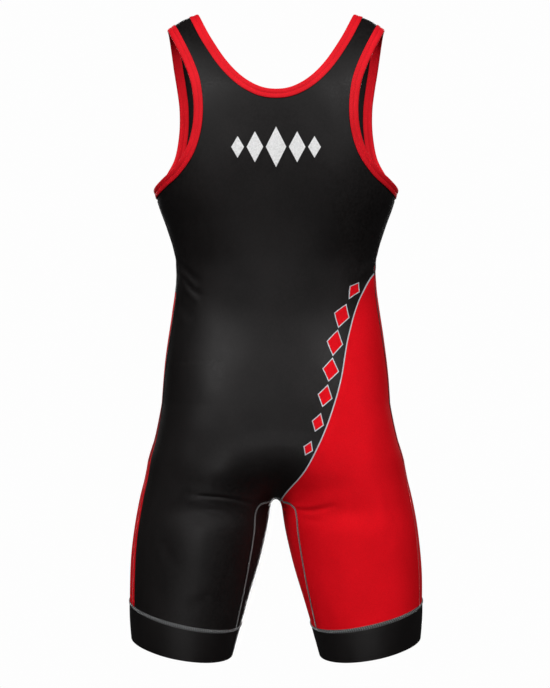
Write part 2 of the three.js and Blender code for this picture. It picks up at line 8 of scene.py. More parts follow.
import bpy
import numpy as np
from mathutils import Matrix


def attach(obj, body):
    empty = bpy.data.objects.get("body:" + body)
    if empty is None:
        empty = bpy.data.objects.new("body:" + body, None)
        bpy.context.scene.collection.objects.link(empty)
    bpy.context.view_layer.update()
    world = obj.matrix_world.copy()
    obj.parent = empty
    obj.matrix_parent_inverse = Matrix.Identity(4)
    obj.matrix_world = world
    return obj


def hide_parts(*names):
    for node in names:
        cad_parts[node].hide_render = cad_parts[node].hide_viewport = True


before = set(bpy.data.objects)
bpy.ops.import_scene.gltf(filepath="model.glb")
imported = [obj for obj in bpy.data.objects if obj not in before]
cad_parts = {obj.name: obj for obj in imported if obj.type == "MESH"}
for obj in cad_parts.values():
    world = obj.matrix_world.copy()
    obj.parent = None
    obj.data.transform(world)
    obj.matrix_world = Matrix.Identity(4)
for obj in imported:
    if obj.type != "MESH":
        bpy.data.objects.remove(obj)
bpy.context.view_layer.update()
FINE = 1.0      # mesh density

MM = 0.001
WALL = 1.2
BIND_WIDTH = 12.0
CUFF_WALL = 1.6
SHOULDER_FROM, SHOULDER_TOP = -98.0, 23.5
SEAT_FROM, SEAT_END = -570.0, -640.0
BLEND_LEGS, BLEND_SEAT = 16.0, 34.0
SEAM_FORWARD = 14.0
INSEAM_BACK = 26.0
THIGH_ROUND = 2.1
THIGH_TOP_FROM, THIGH_TOP_END = -560.0, -470.0

# ---------- tables of the worn form ----------
# z, half width, depth behind and before the middle, y of the middle, roundness
TRUNK = [
    (30, 192, 62, 58, -2, 3), (-50, 192, 86, 80, -3, 2.8), (-100, 190, 102, 96, -3, 2.5),
    (-150, 185, 109, 107, -3, 2.4), (-200, 174, 111, 115, -3, 2.4), (-241, 163.5, 107, 115, -3, 2.4),
    (-282, 148.8, 99, 110, -3, 2.35), (-323, 138, 91, 102, -2, 2.3), (-351, 138, 88, 99, 0, 2.25),
    (-392, 143, 88.5, 98, 1, 2.25), (-434, 148.8, 93.5, 100, 3, 2.25), (-480, 154, 104, 101, 4, 2.3),
    (-530, 155, 113.5, 101, 5, 2.3), (-572, 159, 115, 99, 6, 2.3), (-610, 165, 105, 96, 7, 2.3),
    (-660, 165, 96, 92, 8, 2.3),
]
# z, centre x, half width, centre y, half depth
THIGH = [
    (-520, 78, 62, 8, 84), (-572, 83, 73.5, 9, 93), (-600, 88, 82.5, 9, 96), (-627, 92, 89, 9, 97),
    (-682, 101.8, 91.4, 7, 94), (-737, 111.1, 88.6, 4, 88), (-793, 120.2, 81.2, 1, 82),
    (-848, 126.6, 71.8, -2, 76), (-880, 129, 66, -4, 73),
]
# finished edges, x and z; None = the shoulder ridge's height, or the trunk's half width
NECK_BACK = [(107.5, None), (94, -16.8), (81.6, -38.6), (69.2, -57.6), (55.4, -74.2), (41, -87),
             (25.6, -95.8), (12, -100), (0, -101)]
NECK_FRONT = [(107, None), (98, -30), (88, -75), (74, -120), (56, -157), (34, -180.5), (15, -189.6),
              (0, -190.8)]
ARM_BACK = [(148, None), (131.5, -42.5), (120.5, -67), (112.4, -92), (108.8, -122), (111, -152),
            (120, -180.5), (136, -203), (153, -217), (None, -228)]
ARM_FRONT = [(148, None), (143.2, -51), (139, -80), (136, -108), (136.6, -140), (142.3, -175),
             (154, -201), (None, -228)]
SIDE_SEAM = [(-225, -3), (-282, 8), (-351, 22), (-461, 30), (-572, 36), (-655, 40), (-740, 38), (-830, 32)]
INSEAM = [(9, -653.6), (18, -655.5), (24, -661.5), (27.2, -673), (30.4, -697), (37, -739),
          (47, -789.6), (53.8, -821), (56, -832)]
CUFF_SEAM = (-809.0, 0.225, -0.13)       # height on the axis, rise outward, fall backward
LEG_MOUTH = (-854.5, 0.18, -0.13)

ROWS_STRAP = {1: 8, -1: 10}
ROWS_TO_ARMPIT, ROWS_TRUNK, ROWS_SEAT, ROWS_LEG = 14, 7, 9, 8
HIP_LINE, SIDE_AT_CROTCH = -440.0, -622.0
ARMPIT_DIP, CROTCH_DIP, CROTCH_LIFT = 18.0, 15.0, 5.0

# rows of mesh to one row of the CAD, and columns across half a panel
SPLIT_TOP = max(3, round(7 * FINE))
SPLIT_TRUNK = max(4, round(13 * FINE))
SPLIT_SEAT = max(4, round(10 * FINE))
SPLIT_LEG = max(4, round(12 * FINE))
COLS = max(40, round(120 * FINE))


# ---------- small helpers ----------
def column(rows, key):
    """Smooth reading of one column of a table by its first column."""
    r = sorted(rows, key=lambda q: q[0])
    z = np.array([q[0] for q in r], float)
    v = np.array([q[key] for q in r], float)
    n = len(r)
    m = np.array([(v[min(n - 1, i + 1)] - v[max(0, i - 1)]) / (z[min(n - 1, i + 1)] - z[max(0, i - 1)])
                  for i in range(n)])
    g = np.linspace(z[0], z[-1], 4001)
    i = np.clip(np.searchsorted(z, g, side="right") - 1, 0, n - 2)
    h = z[i + 1] - z[i]
    t = (g - z[i]) / h
    w = ((2 * t**3 - 3 * t**2 + 1) * v[i] + (t**3 - 2 * t**2 + t) * h * m[i]
         + (3 * t**2 - 2 * t**3) * v[i + 1] + (t**3 - t**2) * h * m[i + 1])
    return lambda q: np.interp(q, g, w)


HALF, BACK, FRONT, MID, ROUND = (column(TRUNK, k) for k in range(1, 6))
T_CX, T_HALF, T_CY, T_DEEP = (column(THIGH, k) for k in range(1, 5))
SIDE_Y = column(SIDE_SEAM, 1)


def over_shoulder(z):
    return np.maximum(0, (z - SHOULDER_FROM) / (SHOULDER_TOP - SHOULDER_FROM))


def trunk_form(x, y, z):
    w, m, n = HALF(z), MID(z), ROUND(z)
    d = np.where(y > m, BACK(z), FRONT(z))
    under = np.maximum(0, (SEAT_FROM - z) / (SEAT_FROM - SEAT_END))
    f = (np.abs(x) / w) ** n + (np.abs(y - m) / d) ** n + over_shoulder(z) ** 2 + under ** 2.5
    return (f ** (1 / n) - 1) * np.minimum(w, d)


def thigh_form(x, y, z):
    a, b, p = T_HALF(z), T_DEEP(z), THIGH_ROUND
    cap = np.maximum(0, (z - THIGH_TOP_FROM) / (THIGH_TOP_END - THIGH_TOP_FROM))
    f = (np.abs(x - T_CX(z)) / a) ** p + (np.abs(y - T_CY(z)) / b) ** p + cap ** 2
    return (f ** (1 / p) - 1) * np.minimum(a, b)


def soft_min(a, b, k):
    h = np.maximum(0, k - np.abs(a - b)) / k
    return np.minimum(a, b) - h * h * k / 4


def form(p):
    x, y, z = p[..., 0], p[..., 1], p[..., 2]
    t = trunk_form(x, y, z)
    legs = soft_min(thigh_form(x, y, z), thigh_form(-x, y, z), BLEND_LEGS)
    return np.where(z > THIGH_TOP_END + 5, t, soft_min(t, legs, BLEND_SEAT))


def slope(p, h=0.05):
    g = np.empty_like(p)
    for k in range(3):
        e = np.zeros(3)
        e[k] = h
        g[..., k] = (form(p + e) - form(p - e)) / (2 * h)
    return g


def unit(v):
    return v / np.maximum(1e-12, np.linalg.norm(v, axis=-1, keepdims=True))


def normal_at(p):
    return unit(slope(p, 0.4))


def onto_form(p, steps=8):
    q = np.array(p, float)
    for _ in range(steps):
        g = slope(q)
        q = q - g * (form(q) / np.maximum(1e-6, (g * g).sum(-1)))[..., None]
    return q


def cast(origin, direction, stride=5.0, far=500.0):
    """First crossing of the form along rays that start inside it."""
    d = unit(np.asarray(direction, float))
    o = np.broadcast_to(np.asarray(origin, float), d.shape)
    a = np.zeros(d.shape[:-1])
    open_ = np.ones(a.shape, bool)
    for _ in range(int(far / stride)):
        b = a + stride
        inside = form(o + d * b[..., None]) < 0
        open_ &= inside
        if not open_.any():
            break
        a = np.where(open_, b, a)
    b = a + stride
    for _ in range(26):
        c = (a + b) / 2
        inside = form(o + d * c[..., None]) < 0
        a, b = np.where(inside, c, a), np.where(inside, b, c)
    return o + d * ((a + b) / 2)[..., None]


class Ruler:
    """A polyline read by arc length."""

    def __init__(self, points):
        self.p = np.asarray(points, float)
        self.s = np.concatenate(([0], np.cumsum(np.linalg.norm(np.diff(self.p, axis=0), axis=1))))
        self.length = self.s[-1]

    def at(self, d):
        d = np.clip(d, 0, self.length)
        return np.stack([np.interp(d, self.s, self.p[:, k]) for k in range(self.p.shape[1])], -1)


# ---------- edges ----------
def rest(x, z):
    return 1 - (np.abs(x) / HALF(z)) ** ROUND(z) - over_shoulder(z) ** 2


def depth_at(x, z, side):
    d = BACK(z) if side > 0 else FRONT(z)
    return MID(z) + side * d * np.maximum(0, rest(x, z)) ** (1 / ROUND(z))


def ridge_height(x):
    a, b = SHOULDER_FROM, SHOULDER_TOP
    for _ in range(50):
        c = (a + b) / 2
        if rest(x, c) > 0:
            a = c
        else:
            b = c
    return (a + b) / 2


def uniform_spline(pts, t):
    n = len(pts)
    q = (n - 1) * t
    i = np.minimum(np.floor(q).astype(int), n - 1)
    w = (q - i)[:, None]
    p0, p1 = pts[np.maximum(i - 1, 0)], pts[i]
    p2, p3 = pts[np.minimum(i + 1, n - 1)], pts[np.minimum(i + 2, n - 1)]
    p0 = np.where((i == 0)[:, None], p1, p0)
    v0, v1 = (p2 - p0) / 2, (p3 - p1) / 2
    return (2 * p1 - 2 * p2 + v0 + v1) * w**3 + (-3 * p1 + 3 * p2 - 2 * v0 - v1) * w**2 + v0 * w + p1


def edge_samples(rows, side, count=1600):
    pts = np.array([(float(HALF(z)) if x is None else x, ridge_height(x) if z is None else z)
                    for x, z in rows], float)
    s = (1 - np.cos(np.pi * np.arange(count + 1) / count)) / 2
    q = uniform_spline(pts, s)
    return np.stack([q[:, 0], depth_at(q[:, 0], q[:, 1], side), q[:, 1]], -1)


def edge_loop(back_rows, front_rows):
    back = edge_samples(back_rows, 1)[::-1]
    front = edge_samples(front_rows, -1)[1:]
    r = Ruler(np.concatenate([back, front]))
    r.seam = r.s[len(back) - 1] + SEAM_FORWARD
    return r


NECK_LINE = edge_loop(NECK_BACK, NECK_FRONT)
ARM_LINE = edge_loop(ARM_BACK, ARM_FRONT)


def stations(line, s, opening):
    """Finished edge and a frame there: outward normal and the direction across the cloth, away from the edge."""
    s = np.asarray(s, float)
    e = onto_form(line.at(s))
    t = line.at(s + 4) - line.at(s - 4)
    if opening == "neck":
        t = np.where((s < 1e-6)[:, None], (1, 0, 0), t)
        t = np.where((s > line.length - 1e-6)[:, None], (-1, 0, 0), t)
    else:
        ends = (s < 1e-6) | (s > line.length - 1e-6)
        t = np.where(ends[:, None], line.at(4.0) - line.at(line.length - 4.0), t)
    q = unit(np.cross(normal_at(e), t))
    if opening == "arm":
        q = -q
    i = onto_form(e + q * BIND_WIDTH)
    if opening == "neck":
        for end in (s < 1e-6, s > line.length - 1e-6):
            e[end, 0] = 0
            i[end, 0] = 0
    return e, i


def spaced(a, b, u, ease=1.0):
    return a + (b - a) * (1 - (1 - u) ** ease)


ARM_SPLIT = {1: ARM_LINE.seam * 0.47, -1: ARM_LINE.seam + (ARM_LINE.length - ARM_LINE.seam) * 0.74}


def arm_place(side, u):
    """Arc length on the armhole line of row u."""
    n, split = ROWS_STRAP[side], ARM_SPLIT[side]
    end = 0.0 if side > 0 else ARM_LINE.length
    first = spaced(ARM_LINE.seam, split, np.clip(u / n, 0, 1))
    second = spaced(split, end, np.clip((u - n) / (ROWS_TO_ARMPIT - n), 0, 1), 1.6)
    return np.where(u <= n, first, second)


def neck_place(side, u):
    end = 0.0 if side > 0 else NECK_LINE.length
    return spaced(NECK_LINE.seam, end, u / ROWS_STRAP[side])


# ---------- rows ----------
def girth(a, z):
    p = THIGH_ROUND
    return (np.abs(np.cos(a) / T_HALF(z)) ** p + np.abs(np.sin(a) / T_DEEP(z)) ** p) ** (-1 / p)


def row_points(centre, start, end, side, out=0.0, back=0.0, dip=0.0, rise=0.0, near=0.0, t=None):
    """Rows from start to end round their centres, on the form. All but side are arrays, one a row."""
    n = len(centre)
    out, back, dip, rise, near = (np.broadcast_to(np.asarray(v, float), (n,))[:, None]
                                  for v in (out, back, dip, rise, near))
    ds, de = start - centre, end - centre
    a0, r0 = np.arctan2(ds[:, 1], ds[:, 0]), np.hypot(ds[:, 0], ds[:, 1])
    a1, r1 = np.arctan2(de[:, 1], de[:, 0]), np.hypot(de[:, 0], de[:, 1])
    if side > 0:
        a0 = np.where(a0 < -0.6, a0 + 2 * np.pi, a0)
    else:
        a0 = np.where(a0 > 0.6, a0 - 2 * np.pi, a0)
    a0, a1, r0, r1 = (v[:, None] for v in (a0, a1, r0, r1))
    plane = lambda a: out * np.cos(a) + back * np.sin(a)
    k0 = ds[:, 2:3] / r0 - plane(a0)
    k1 = de[:, 2:3] / r1 - plane(a1)
    t = np.linspace(0, 1, COLS + 1)[None, :] if t is None else t
    a = a0 + (a1 - a0) * t
    k = (plane(a) + k0 * (1 - t) + k1 * t - dip / r1 * 14.9 * t**5 * (1 - t)
         + rise / r0 * t / 0.12 * np.exp(1 - t / 0.12) * (1 - t))
    d = np.stack([np.cos(a), np.sin(a), k], -1)
    c = centre[:, None, :]
    far_rows = (near < 1).ravel()
    near_rows = (near > 0).ravel()
    p = np.zeros(d.shape)
    if far_rows.any():
        p[far_rows] = cast(np.broadcast_to(c[far_rows], d[far_rows].shape), d[far_rows])
    if near_rows.any():
        z = centre[near_rows, 2:3]
        an, tn = a[near_rows], np.broadcast_to(t, a.shape)[near_rows]
        reach = (girth(an, z) + (r0[near_rows] - girth(a0[near_rows], z)) * np.exp(-tn / 0.05)
                 + (r1[near_rows] - girth(a1[near_rows], z)) * tn * tn)
        q = onto_form(c[near_rows] + d[near_rows] * reach[..., None])
        w = near[near_rows][..., None]
        p[near_rows] = np.where(w >= 1, q, onto_form(p[near_rows] * (1 - w) + q * w))
    p[:, 0], p[:, -1] = start, end
    return p


def middle_line():
    a = 1.35 - np.arange(1441) / 1440 * (np.pi + 2.7)
    p = cast((0.0, 6.0, -545.0), np.stack([0 * a, np.cos(a), np.sin(a)], -1), 2.0)
    return Ruler(p[p[:, 2] <= HIP_LINE + 2])


MIDDLE = middle_line()
_d = np.arange(0, MIDDLE.length, 0.25)
_z = MIDDLE.at(_d)[:, 2]
MIDDLE_LOW = _d[_z.argmin()]
MIDDLE_HIP = {1: _d[_z <= HIP_LINE][0], -1: _d[_z <= HIP_LINE][-1]}
CROTCH_AT = MIDDLE_LOW - INSEAM_BACK
CROTCH = MIDDLE.at(CROTCH_AT)
CROTCH[0] = 0.0


def side_point(z):
    z = np.asarray(z, float)
    x0 = np.where(z > -600, 0.0, T_CX(z))
    o = np.stack([x0, SIDE_Y(z), z], -1)
    return cast(o, np.broadcast_to((1.0, 0.0, 0.0), o.shape))


def plane_height(pl, p):
    return pl[0] + pl[1] * (p[..., 0] - T_CX(pl[0])) + pl[2] * (p[..., 1] - T_CY(pl[0]))


def inseam_line():
    x, z = np.array([r[0] for r in INSEAM], float), np.array([r[1] for r in INSEAM], float)
    o = np.stack([x, T_CY(z), z], -1)
    ctrl = np.concatenate([CROTCH[None], cast(o, np.broadcast_to((0.0, 1.0, 0.0), o.shape))])
    n = len(ctrl)
    t = np.linspace(0, 1, 1201)
    q = (n - 1) * t
    i = np.minimum(np.floor(q).astype(int), n - 2)
    w = (q - i)[:, None]
    ext = np.concatenate([[2 * ctrl[0] - ctrl[1]], ctrl, [2 * ctrl[-1] - ctrl[-2]]])
    p0, p1, p2, p3 = ext[i], ext[i + 1], ext[i + 2], ext[i + 3]
    gap = lambda u, v: ((u - v) ** 2).sum(-1, keepdims=True) ** 0.25
    d0, d1, d2 = gap(p0, p1), gap(p1, p2), gap(p2, p3)
    m1 = ((p1 - p0) / d0 - (p2 - p0) / (d0 + d1) + (p2 - p1) / d1) * d1
    m2 = ((p2 - p1) / d1 - (p3 - p1) / (d1 + d2) + (p3 - p2) / d2) * d1
    p = p1 + m1 * w + (-3 * p1 + 3 * p2 - 2 * m1 - m2) * w**2 + (2 * p1 - 2 * p2 + m1 + m2) * w**3
    p = onto_form(p)
    p[0] = CROTCH
    below = np.nonzero(p[:, 2] < plane_height(CUFF_SEAM, p))[0]
    return Ruler(p[:below[0]])


INSEAM_LINE = inseam_line()
_z = np.linspace(-830, -740, 1801)
_p = side_point(_z)
SIDE_AT_CUFF = _z[(_p[:, 2] >= plane_height(CUFF_SEAM, _p)).argmax()]


def lerp(a, b, t):
    return a + (b - a) * t


def ramp(x, a, b):
    t = np.clip((x - a) / (b - a), 0, 1)
    return t * t * (3 - 2 * t)


def half_panel(side):
    """All rows of a half panel (x >= 0), and the strips out to the finished edges."""
    n = ROWS_STRAP[side]
    u = np.linspace(0, ROWS_TO_ARMPIT, ROWS_TO_ARMPIT * SPLIT_TOP + 1)
    arm_edge, arm_in = stations(ARM_LINE, arm_place(side, u), "arm")
    us = u[u <= n + 1e-9]
    neck_edge, neck_in = stations(NECK_LINE, neck_place(side, us), "neck")
    armpit = arm_in[-1]
    z_low = neck_in[-1, 2]
    k = (u - n) / (ROWS_TO_ARMPIT - n)
    z_mid = lerp(z_low, armpit[2] - ARMPIT_DIP, np.clip(k, 0, 1))
    start = np.stack([0 * z_mid, depth_at(0.0, z_mid, side), z_mid], -1)
    start[:len(us)] = neck_in
    hub_z = np.where(u <= n, np.minimum(-125, lerp(-125, z_low, u / n)), np.minimum(-125, z_mid))
    hub = np.stack([0 * hub_z, MID(hub_z), hub_z], -1)
    dip = ARMPIT_DIP * np.clip((u - ROWS_TO_ARMPIT + 5) / 5, 0, 1)
    top = row_points(hub, start, arm_in, side, dip=dip)

    t = np.linspace(0, 1, ROWS_TRUNK * SPLIT_TRUNK + 1)[1:]
    z = lerp(armpit[2] - ARMPIT_DIP, HIP_LINE, t)
    hub = np.stack([0 * z, MID(z), z], -1)
    start = np.stack([0 * z, depth_at(0.0, z, side), z], -1)
    # the rows' dip below the armhole dies out over the first rows of the trunk
    trunk_rows = row_points(hub, start, side_point(lerp(armpit[2], HIP_LINE, t)), side,
                            dip=ARMPIT_DIP * np.clip(1 - t * ROWS_TRUNK, 0, 1))

    def bend(i):
        reach = np.where(i < 0, 1.6, 3.5)
        return (-CROTCH_DIP if side < 0 else CROTCH_LIFT) * np.maximum(0, 1 - np.abs(i) / reach)

    i = np.linspace(0, ROWS_SEAT, ROWS_SEAT * SPLIT_SEAT + 1)[1:]
    t = i / ROWS_SEAT
    z = lerp(HIP_LINE, SIDE_AT_CROTCH, t)
    start = MIDDLE.at(lerp(MIDDLE_HIP[side], CROTCH_AT, t))
    start[:, 0] = 0
    start[-1] = CROTCH
    w = ramp(t * 1.15, 0, 1)
    hub = lerp(np.stack([0 * z, MID(z), z], -1), np.stack([T_CX(z), T_CY(z), z], -1), w[:, None])
    seat = row_points(hub, start, side_point(z), side, out=0.1 * w, back=-0.03 * w,
                      rise=bend(i - ROWS_SEAT), near=ramp(t, 0.45, 0.7))

    i = np.linspace(0, ROWS_LEG, ROWS_LEG * SPLIT_LEG + 1)[1:]
    t = i / ROWS_LEG
    z = lerp(SIDE_AT_CROTCH - 8, CUFF_SEAM[0], t)
    leg = row_points(np.stack([T_CX(z), T_CY(z), z], -1), INSEAM_LINE.at(INSEAM_LINE.length * t ** 1.35),
                     side_point(lerp(SIDE_AT_CROTCH, SIDE_AT_CUFF, t)), side,
                     out=lerp(0.1, CUFF_SEAM[1], t), back=lerp(-0.03, CUFF_SEAM[2], t), rise=bend(i), near=1.0)
    rows = np.concatenate([top, trunk_rows, seat, leg])
    steps = np.linspace(0, 1, 5)[None, :, None]
    strip = lambda a, b: onto_form(a[:, None] * (1 - steps) + (a + (b - a) * 0.86)[:, None] * steps, 3)
    return rows, strip(neck_in, neck_edge), strip(arm_in, arm_edge)


# ---------- creases ----------
# On the back (side 1) or front (-1): ends x,z of each crease seen square on, how far its middle bows
# sideways, height (below zero a trough), width, and the ridge beside it as a share of its height
# (above zero on the crease's left as one goes from start to end, below zero on its right).
CREASES = [
    # side, x0, z0, x1, z1, bow, height, width, beside
    # under the seat, wearer's left, then right
    (1, 104, -641, 14, -661, -5, -1.9, 2.8, 0.18),
    (1, 122, -640, 70, -655, -5, -0.6, 6.0, 0.5),
    (1, 94, -660, 56, -669, -3, -0.45, 3.4, 0.5),
    (1, -20, -661, -80, -652, 5, -1.3, 3.4, -0.5),
    (1, -30, -672, -68, -676, 2, -0.5, 4.0, -0.5),
    # waist, wearer's left
    (1, 136, -318, 101, -358, 4, -1.7, 4.4, 0.8),
    (1, 128, -344, 98, -376, 4, -1.4, 4.2, 0.8),
    (1, 138, -300, 118, -322, 3, -0.9, 5.0, 0.6),
    (1, 136, -378, 108, -402, 4, -0.8, 7.0, 0.5),
    # waist, wearer's right
    (1, -139, -302, -110, -338, -4, -1.2, 5.5, -0.6),
    (1, -135, -330, -104, -366, -5, -1.1, 6.0, -0.6),
    # below the armholes
    (1, 150, -246, 122, -284, 5, -1.1, 8.0, 0.5),
    (1, -148, -250, -116, -290, -5, -1.0, 8.0, -0.5),
    # small of the back
    (1, 62, -352, -30, -345, 5, -0.5, 13.0, 0.4),
    # back of the thigh, down to the bands
    (1, 150, -700, 128, -742, 5, -0.6, 9.0, 0.5),
    (1, -62, -742, -92, -796, -5, -0.6, 10.0, 0.5),
    (1, -150, -690, -118, -728, -5, -0.5, 11.0, -0.5),
    (1, 88, -778, 118, -800, 3, -0.5, 8.0, 0.5),
    # front: groin on both sides, uneven
    (-1, 132, -560, 30, -634, 9, -2.3, 8.0, 0.7),
    (-1, 112, -592, 44, -646, 6, -1.2, 6.5, 0.6),
    (-1, -128, -552, -34, -628, -8, -2.0, 9.0, -0.7),
    (-1, -106, -598, -50, -644, -5, -1.0, 6.0, -0.6),
    # front waist
    (-1, 138, -320, 84, -352, 5, -1.3, 8.0, 0.6),
    (-1, 136, -352, 70, -372, 4, -1.0, 8.0, 0.5),
    (-1, -138, -314, -78, -340, -5, -1.2, 8.5, -0.6),
    (-1, -137, -344, -88, -371, -3, -0.9, 7.0, -0.5),
    (-1, 40, -398, -34, -392, 5, -0.7, 11.0, 0.4),
    # front chest, from the armholes
    (-1, 150, -236, 96, -262, -4, -0.9, 9.0, 0.5),
    (-1, -149, -240, -104, -268, 4, -0.9, 9.0, -0.5),
    (-1, 118, -206, 66, -214, 4, -0.6, 9.0, 0.4),
    # front thighs
    (-1, 150, -690, 104, -716, 4, -0.7, 9.0, 0.5),
    (-1, -148, -700, -112, -728, -4, -0.7, 9.0, -0.5),
    (-1, 84, -770, 126, -790, 3, -0.5, 8.0, 0.5),
    (-1, -72, -758, -118, -780, -3, -0.6, 9.0, 0.5),
]
# Broad soft relief of the pull of the cloth: side, x, z, half width, half height, height
SWELLS = [
    (1, 84, -508, 46, 62, 2.2), (1, -84, -508, 46, 62, 2.0),
    (1, 0, -580, 62, 20, -2.2),
    (1, 84, -608, 50, 25, 6.8), (1, -84, -608, 50, 25, 4.6), (1, 82, -664, 56, 17, -5.4), (1, -84, -664, 56, 17, -3.8),
    (1, 0, -400, 110, 42, -2.4), (1, 0, -470, 26, 60, -1.2),
    (1, 82, -282, 32, 46, 2.4), (1, -78, -284, 32, 46, 2.2), (1, 0, -262, 34, 50, 1.2),
    (1, 104, -724, 34, 62, 2.4), (1, -106, -720, 34, 62, 2.4),
    (1, 118, -372, 22, 34, -1.4), (1, -120, -366, 22, 34, -1.3),
    (1, 128, -8, 17, 52, 2.2), (1, -128, -8, 17, 52, 2.2), (-1, 128, -8, 17, 52, 2.2), (-1, -128, -8, 17, 52, 2.2),
    (-1, 62, -206, 46, 44, 2.2), (-1, -62, -206, 46, 44, 2.2), (-1, 0, -330, 16, 120, -1.1),
    (-1, 98, -720, 40, 70, 1.4), (-1, -98, -720, 40, 70, 1.4), (-1, 0, -470, 70, 60, 1.0),
]


def bezier(x0, z0, x1, z1, bow, n=48):
    t = np.linspace(0, 1, n)
    a, b = np.array([x0, z0], float), np.array([x1, z1], float)
    side = np.array([-(b - a)[1], (b - a)[0]]) / np.linalg.norm(b - a)
    c = (a + b) / 2 + side * bow * 2
    return (((1 - t) ** 2)[:, None] * a + (2 * t * (1 - t))[:, None] * c + (t ** 2)[:, None] * b), t


def creases(p, n):
    """How far the cloth stands off the smooth form at points p with normals n."""
    x, z = p[:, 0], p[:, 2]
    h = np.zeros(len(p))
    # faces that look back take the back's creases, the rest the front's
    back = ramp(n[:, 1], -0.25, 0.25)
    share = {1: back, -1: 1 - back}
    for side, x0, z0, x1, z1, bow, high, wide, beside in CREASES:
        reach = 4 * wide
        near = ((x > min(x0, x1) - reach) & (x < max(x0, x1) + reach)
                & (z > min(z0, z1) - reach) & (z < max(z0, z1) + reach))
        if not near.any():
            continue
        line, t = bezier(x0, z0, x1, z1, bow)
        q = np.stack([x[near], z[near]], -1)
        d2 = ((q[:, None] - line[None]) ** 2).sum(-1)
        i = d2.argmin(1)
        tan = np.gradient(line, axis=0)
        tan /= np.linalg.norm(tan, axis=1, keepdims=True)
        off = q - line[i]
        signed = tan[i, 0] * off[:, 1] - tan[i, 1] * off[:, 0]
        away = np.sqrt(d2[np.arange(len(q)), i])
        # the body of the crease narrows and dies out at both ends, sooner at its far end
        e = np.clip(t[i], 0, 1)
        fade = np.sin(np.pi * e ** 0.8) ** 0.7 * np.exp(-np.maximum(0, away - np.abs(signed)) / wide)
        w = wide * (0.75 + 0.5 * e)
        trough = np.exp(-(signed / w) ** 2)
        side_w = np.sign(beside) * signed
        ridge = abs(beside) * np.exp(-((side_w - 1.7 * w) / (1.1 * w)) ** 2)
        h[near] += share[side][near] * high * fade * (trough - ridge)
    for side, cx, cz, rx, rz, high in SWELLS:
        h += share[side] * high * np.exp(-((x - cx) / rx) ** 2 - ((z - cz) / rz) ** 2)
    # a slow unevenness everywhere, as knit never lies perfectly smooth
    h += 0.16 * (np.sin(x * 0.061 + z * 0.023 + 1.3) * np.sin(z * 0.047 - x * 0.019 + 0.4)
                 + 0.6 * np.sin(x * 0.113 - z * 0.071 + 2.1 + p[:, 1] * 0.05))
    return h


def settle(p, lift=0.0):
    """Points of the smooth form moved to the creased cloth, and lifted off it. Also gives the normals."""
    n = normal_at(p)
    flat = p.reshape(-1, 3)
    h = creases(flat, n.reshape(-1, 3)).reshape(p.shape[:-1])
    return p + n * (h + lift)[..., None], n


# ---------- print borders ----------
def polyline_distance(q, line):
    """Signed distance (above zero on the left of the line's direction) and length along it."""
    a, b = line[:-1], line[1:]
    d = b - a
    ll = (d * d).sum(1)
    seg_len = np.sqrt(ll)
    s0 = np.concatenate(([0], np.cumsum(seg_len)))[:-1]
    dist, along = np.full(len(q), 1e9), np.zeros(len(q))
    for k in range(len(a)):
        v = q - a[k]
        t = np.clip((v * d[k]).sum(1) / ll[k], 0, 1)
        w = v - t[:, None] * d[k]
        r = np.hypot(w[:, 0], w[:, 1])
        sign = np.where(d[k, 0] * v[:, 1] - d[k, 1] * v[:, 0] > 0, 1.0, -1.0)
        nearer = r < np.abs(dist) - 1e-9
        dist = np.where(nearer, sign * r, dist)
        along = np.where(nearer, s0[k] + t * seg_len[k], along)
    return dist, along


def smooth_line(pts, n=90):
    pts = np.array(pts, float)
    return uniform_spline(pts, np.linspace(0, 1, n))


# x and z of the colour borders, from the waist down; the last point is far below
BORDER_BACK = [(-300, -318), (-215, -322), (-150, -331), (-117, -372), (-97, -430), (-85, -490),
               (-66, -550), (-40, -604), (-12, -642), (0, -668)]
BORDER_FRONT_RIGHT = [(-300, -258), (-215, -262), (-150, -272), (-118, -318), (-101, -380), (-88, -446),
                      (-68, -520), (-40, -590), (-12, -640), (0, -668)]
# on the front beside the left side seam: height and how far out the red starts
BORDER_FRONT_LEFT = [(-330, 190), (-352, 152), (-392, 128), (-450, 118), (-520, 119), (-600, 130),
                     (-680, 142), (-760, 142), (-830, 136)]


SIDE_HEIGHTS = np.linspace(-860, -230, 316)
SIDE_REACH = side_point(SIDE_HEIGHTS)[:, 0]


def print_fields(p, n, side):
    """Signed distance to the colour border (above zero is red) and length along it, in millimetres."""
    q = np.stack([p[:, 0], p[:, 2]], -1)
    line = smooth_line(BORDER_BACK if side > 0 else BORDER_FRONT_RIGHT)
    line = np.concatenate([line, [(0, -1100)]])
    d, s = polyline_distance(q, line)
    d = -d
    if side > 0:
        seam_x = np.interp(q[:, 1], SIDE_HEIGHTS, SIDE_REACH)
        stripe = 3.2 * ramp(-q[:, 1], 470, 640) - 0.6
        left = np.where(q[:, 0] > 0, q[:, 0] - (seam_x - stripe), -200.0)
        s = np.where(left > d, 5000.0, s)
        d = np.maximum(d, left)
    if side < 0:
        edge = column([(z, x) for z, x in BORDER_FRONT_LEFT], 1)
        left = (q[:, 0] - edge(q[:, 1])) * 0.96
        left = np.where(q[:, 1] > -330, np.minimum(left, -(q[:, 1] + 330) - 20), left)
        left = np.where(q[:, 0] < 20, -200, left)
        s = np.where(left > d, 5000 + (-330 - q[:, 1]), s)
        d = np.maximum(d, left)
    return d, s


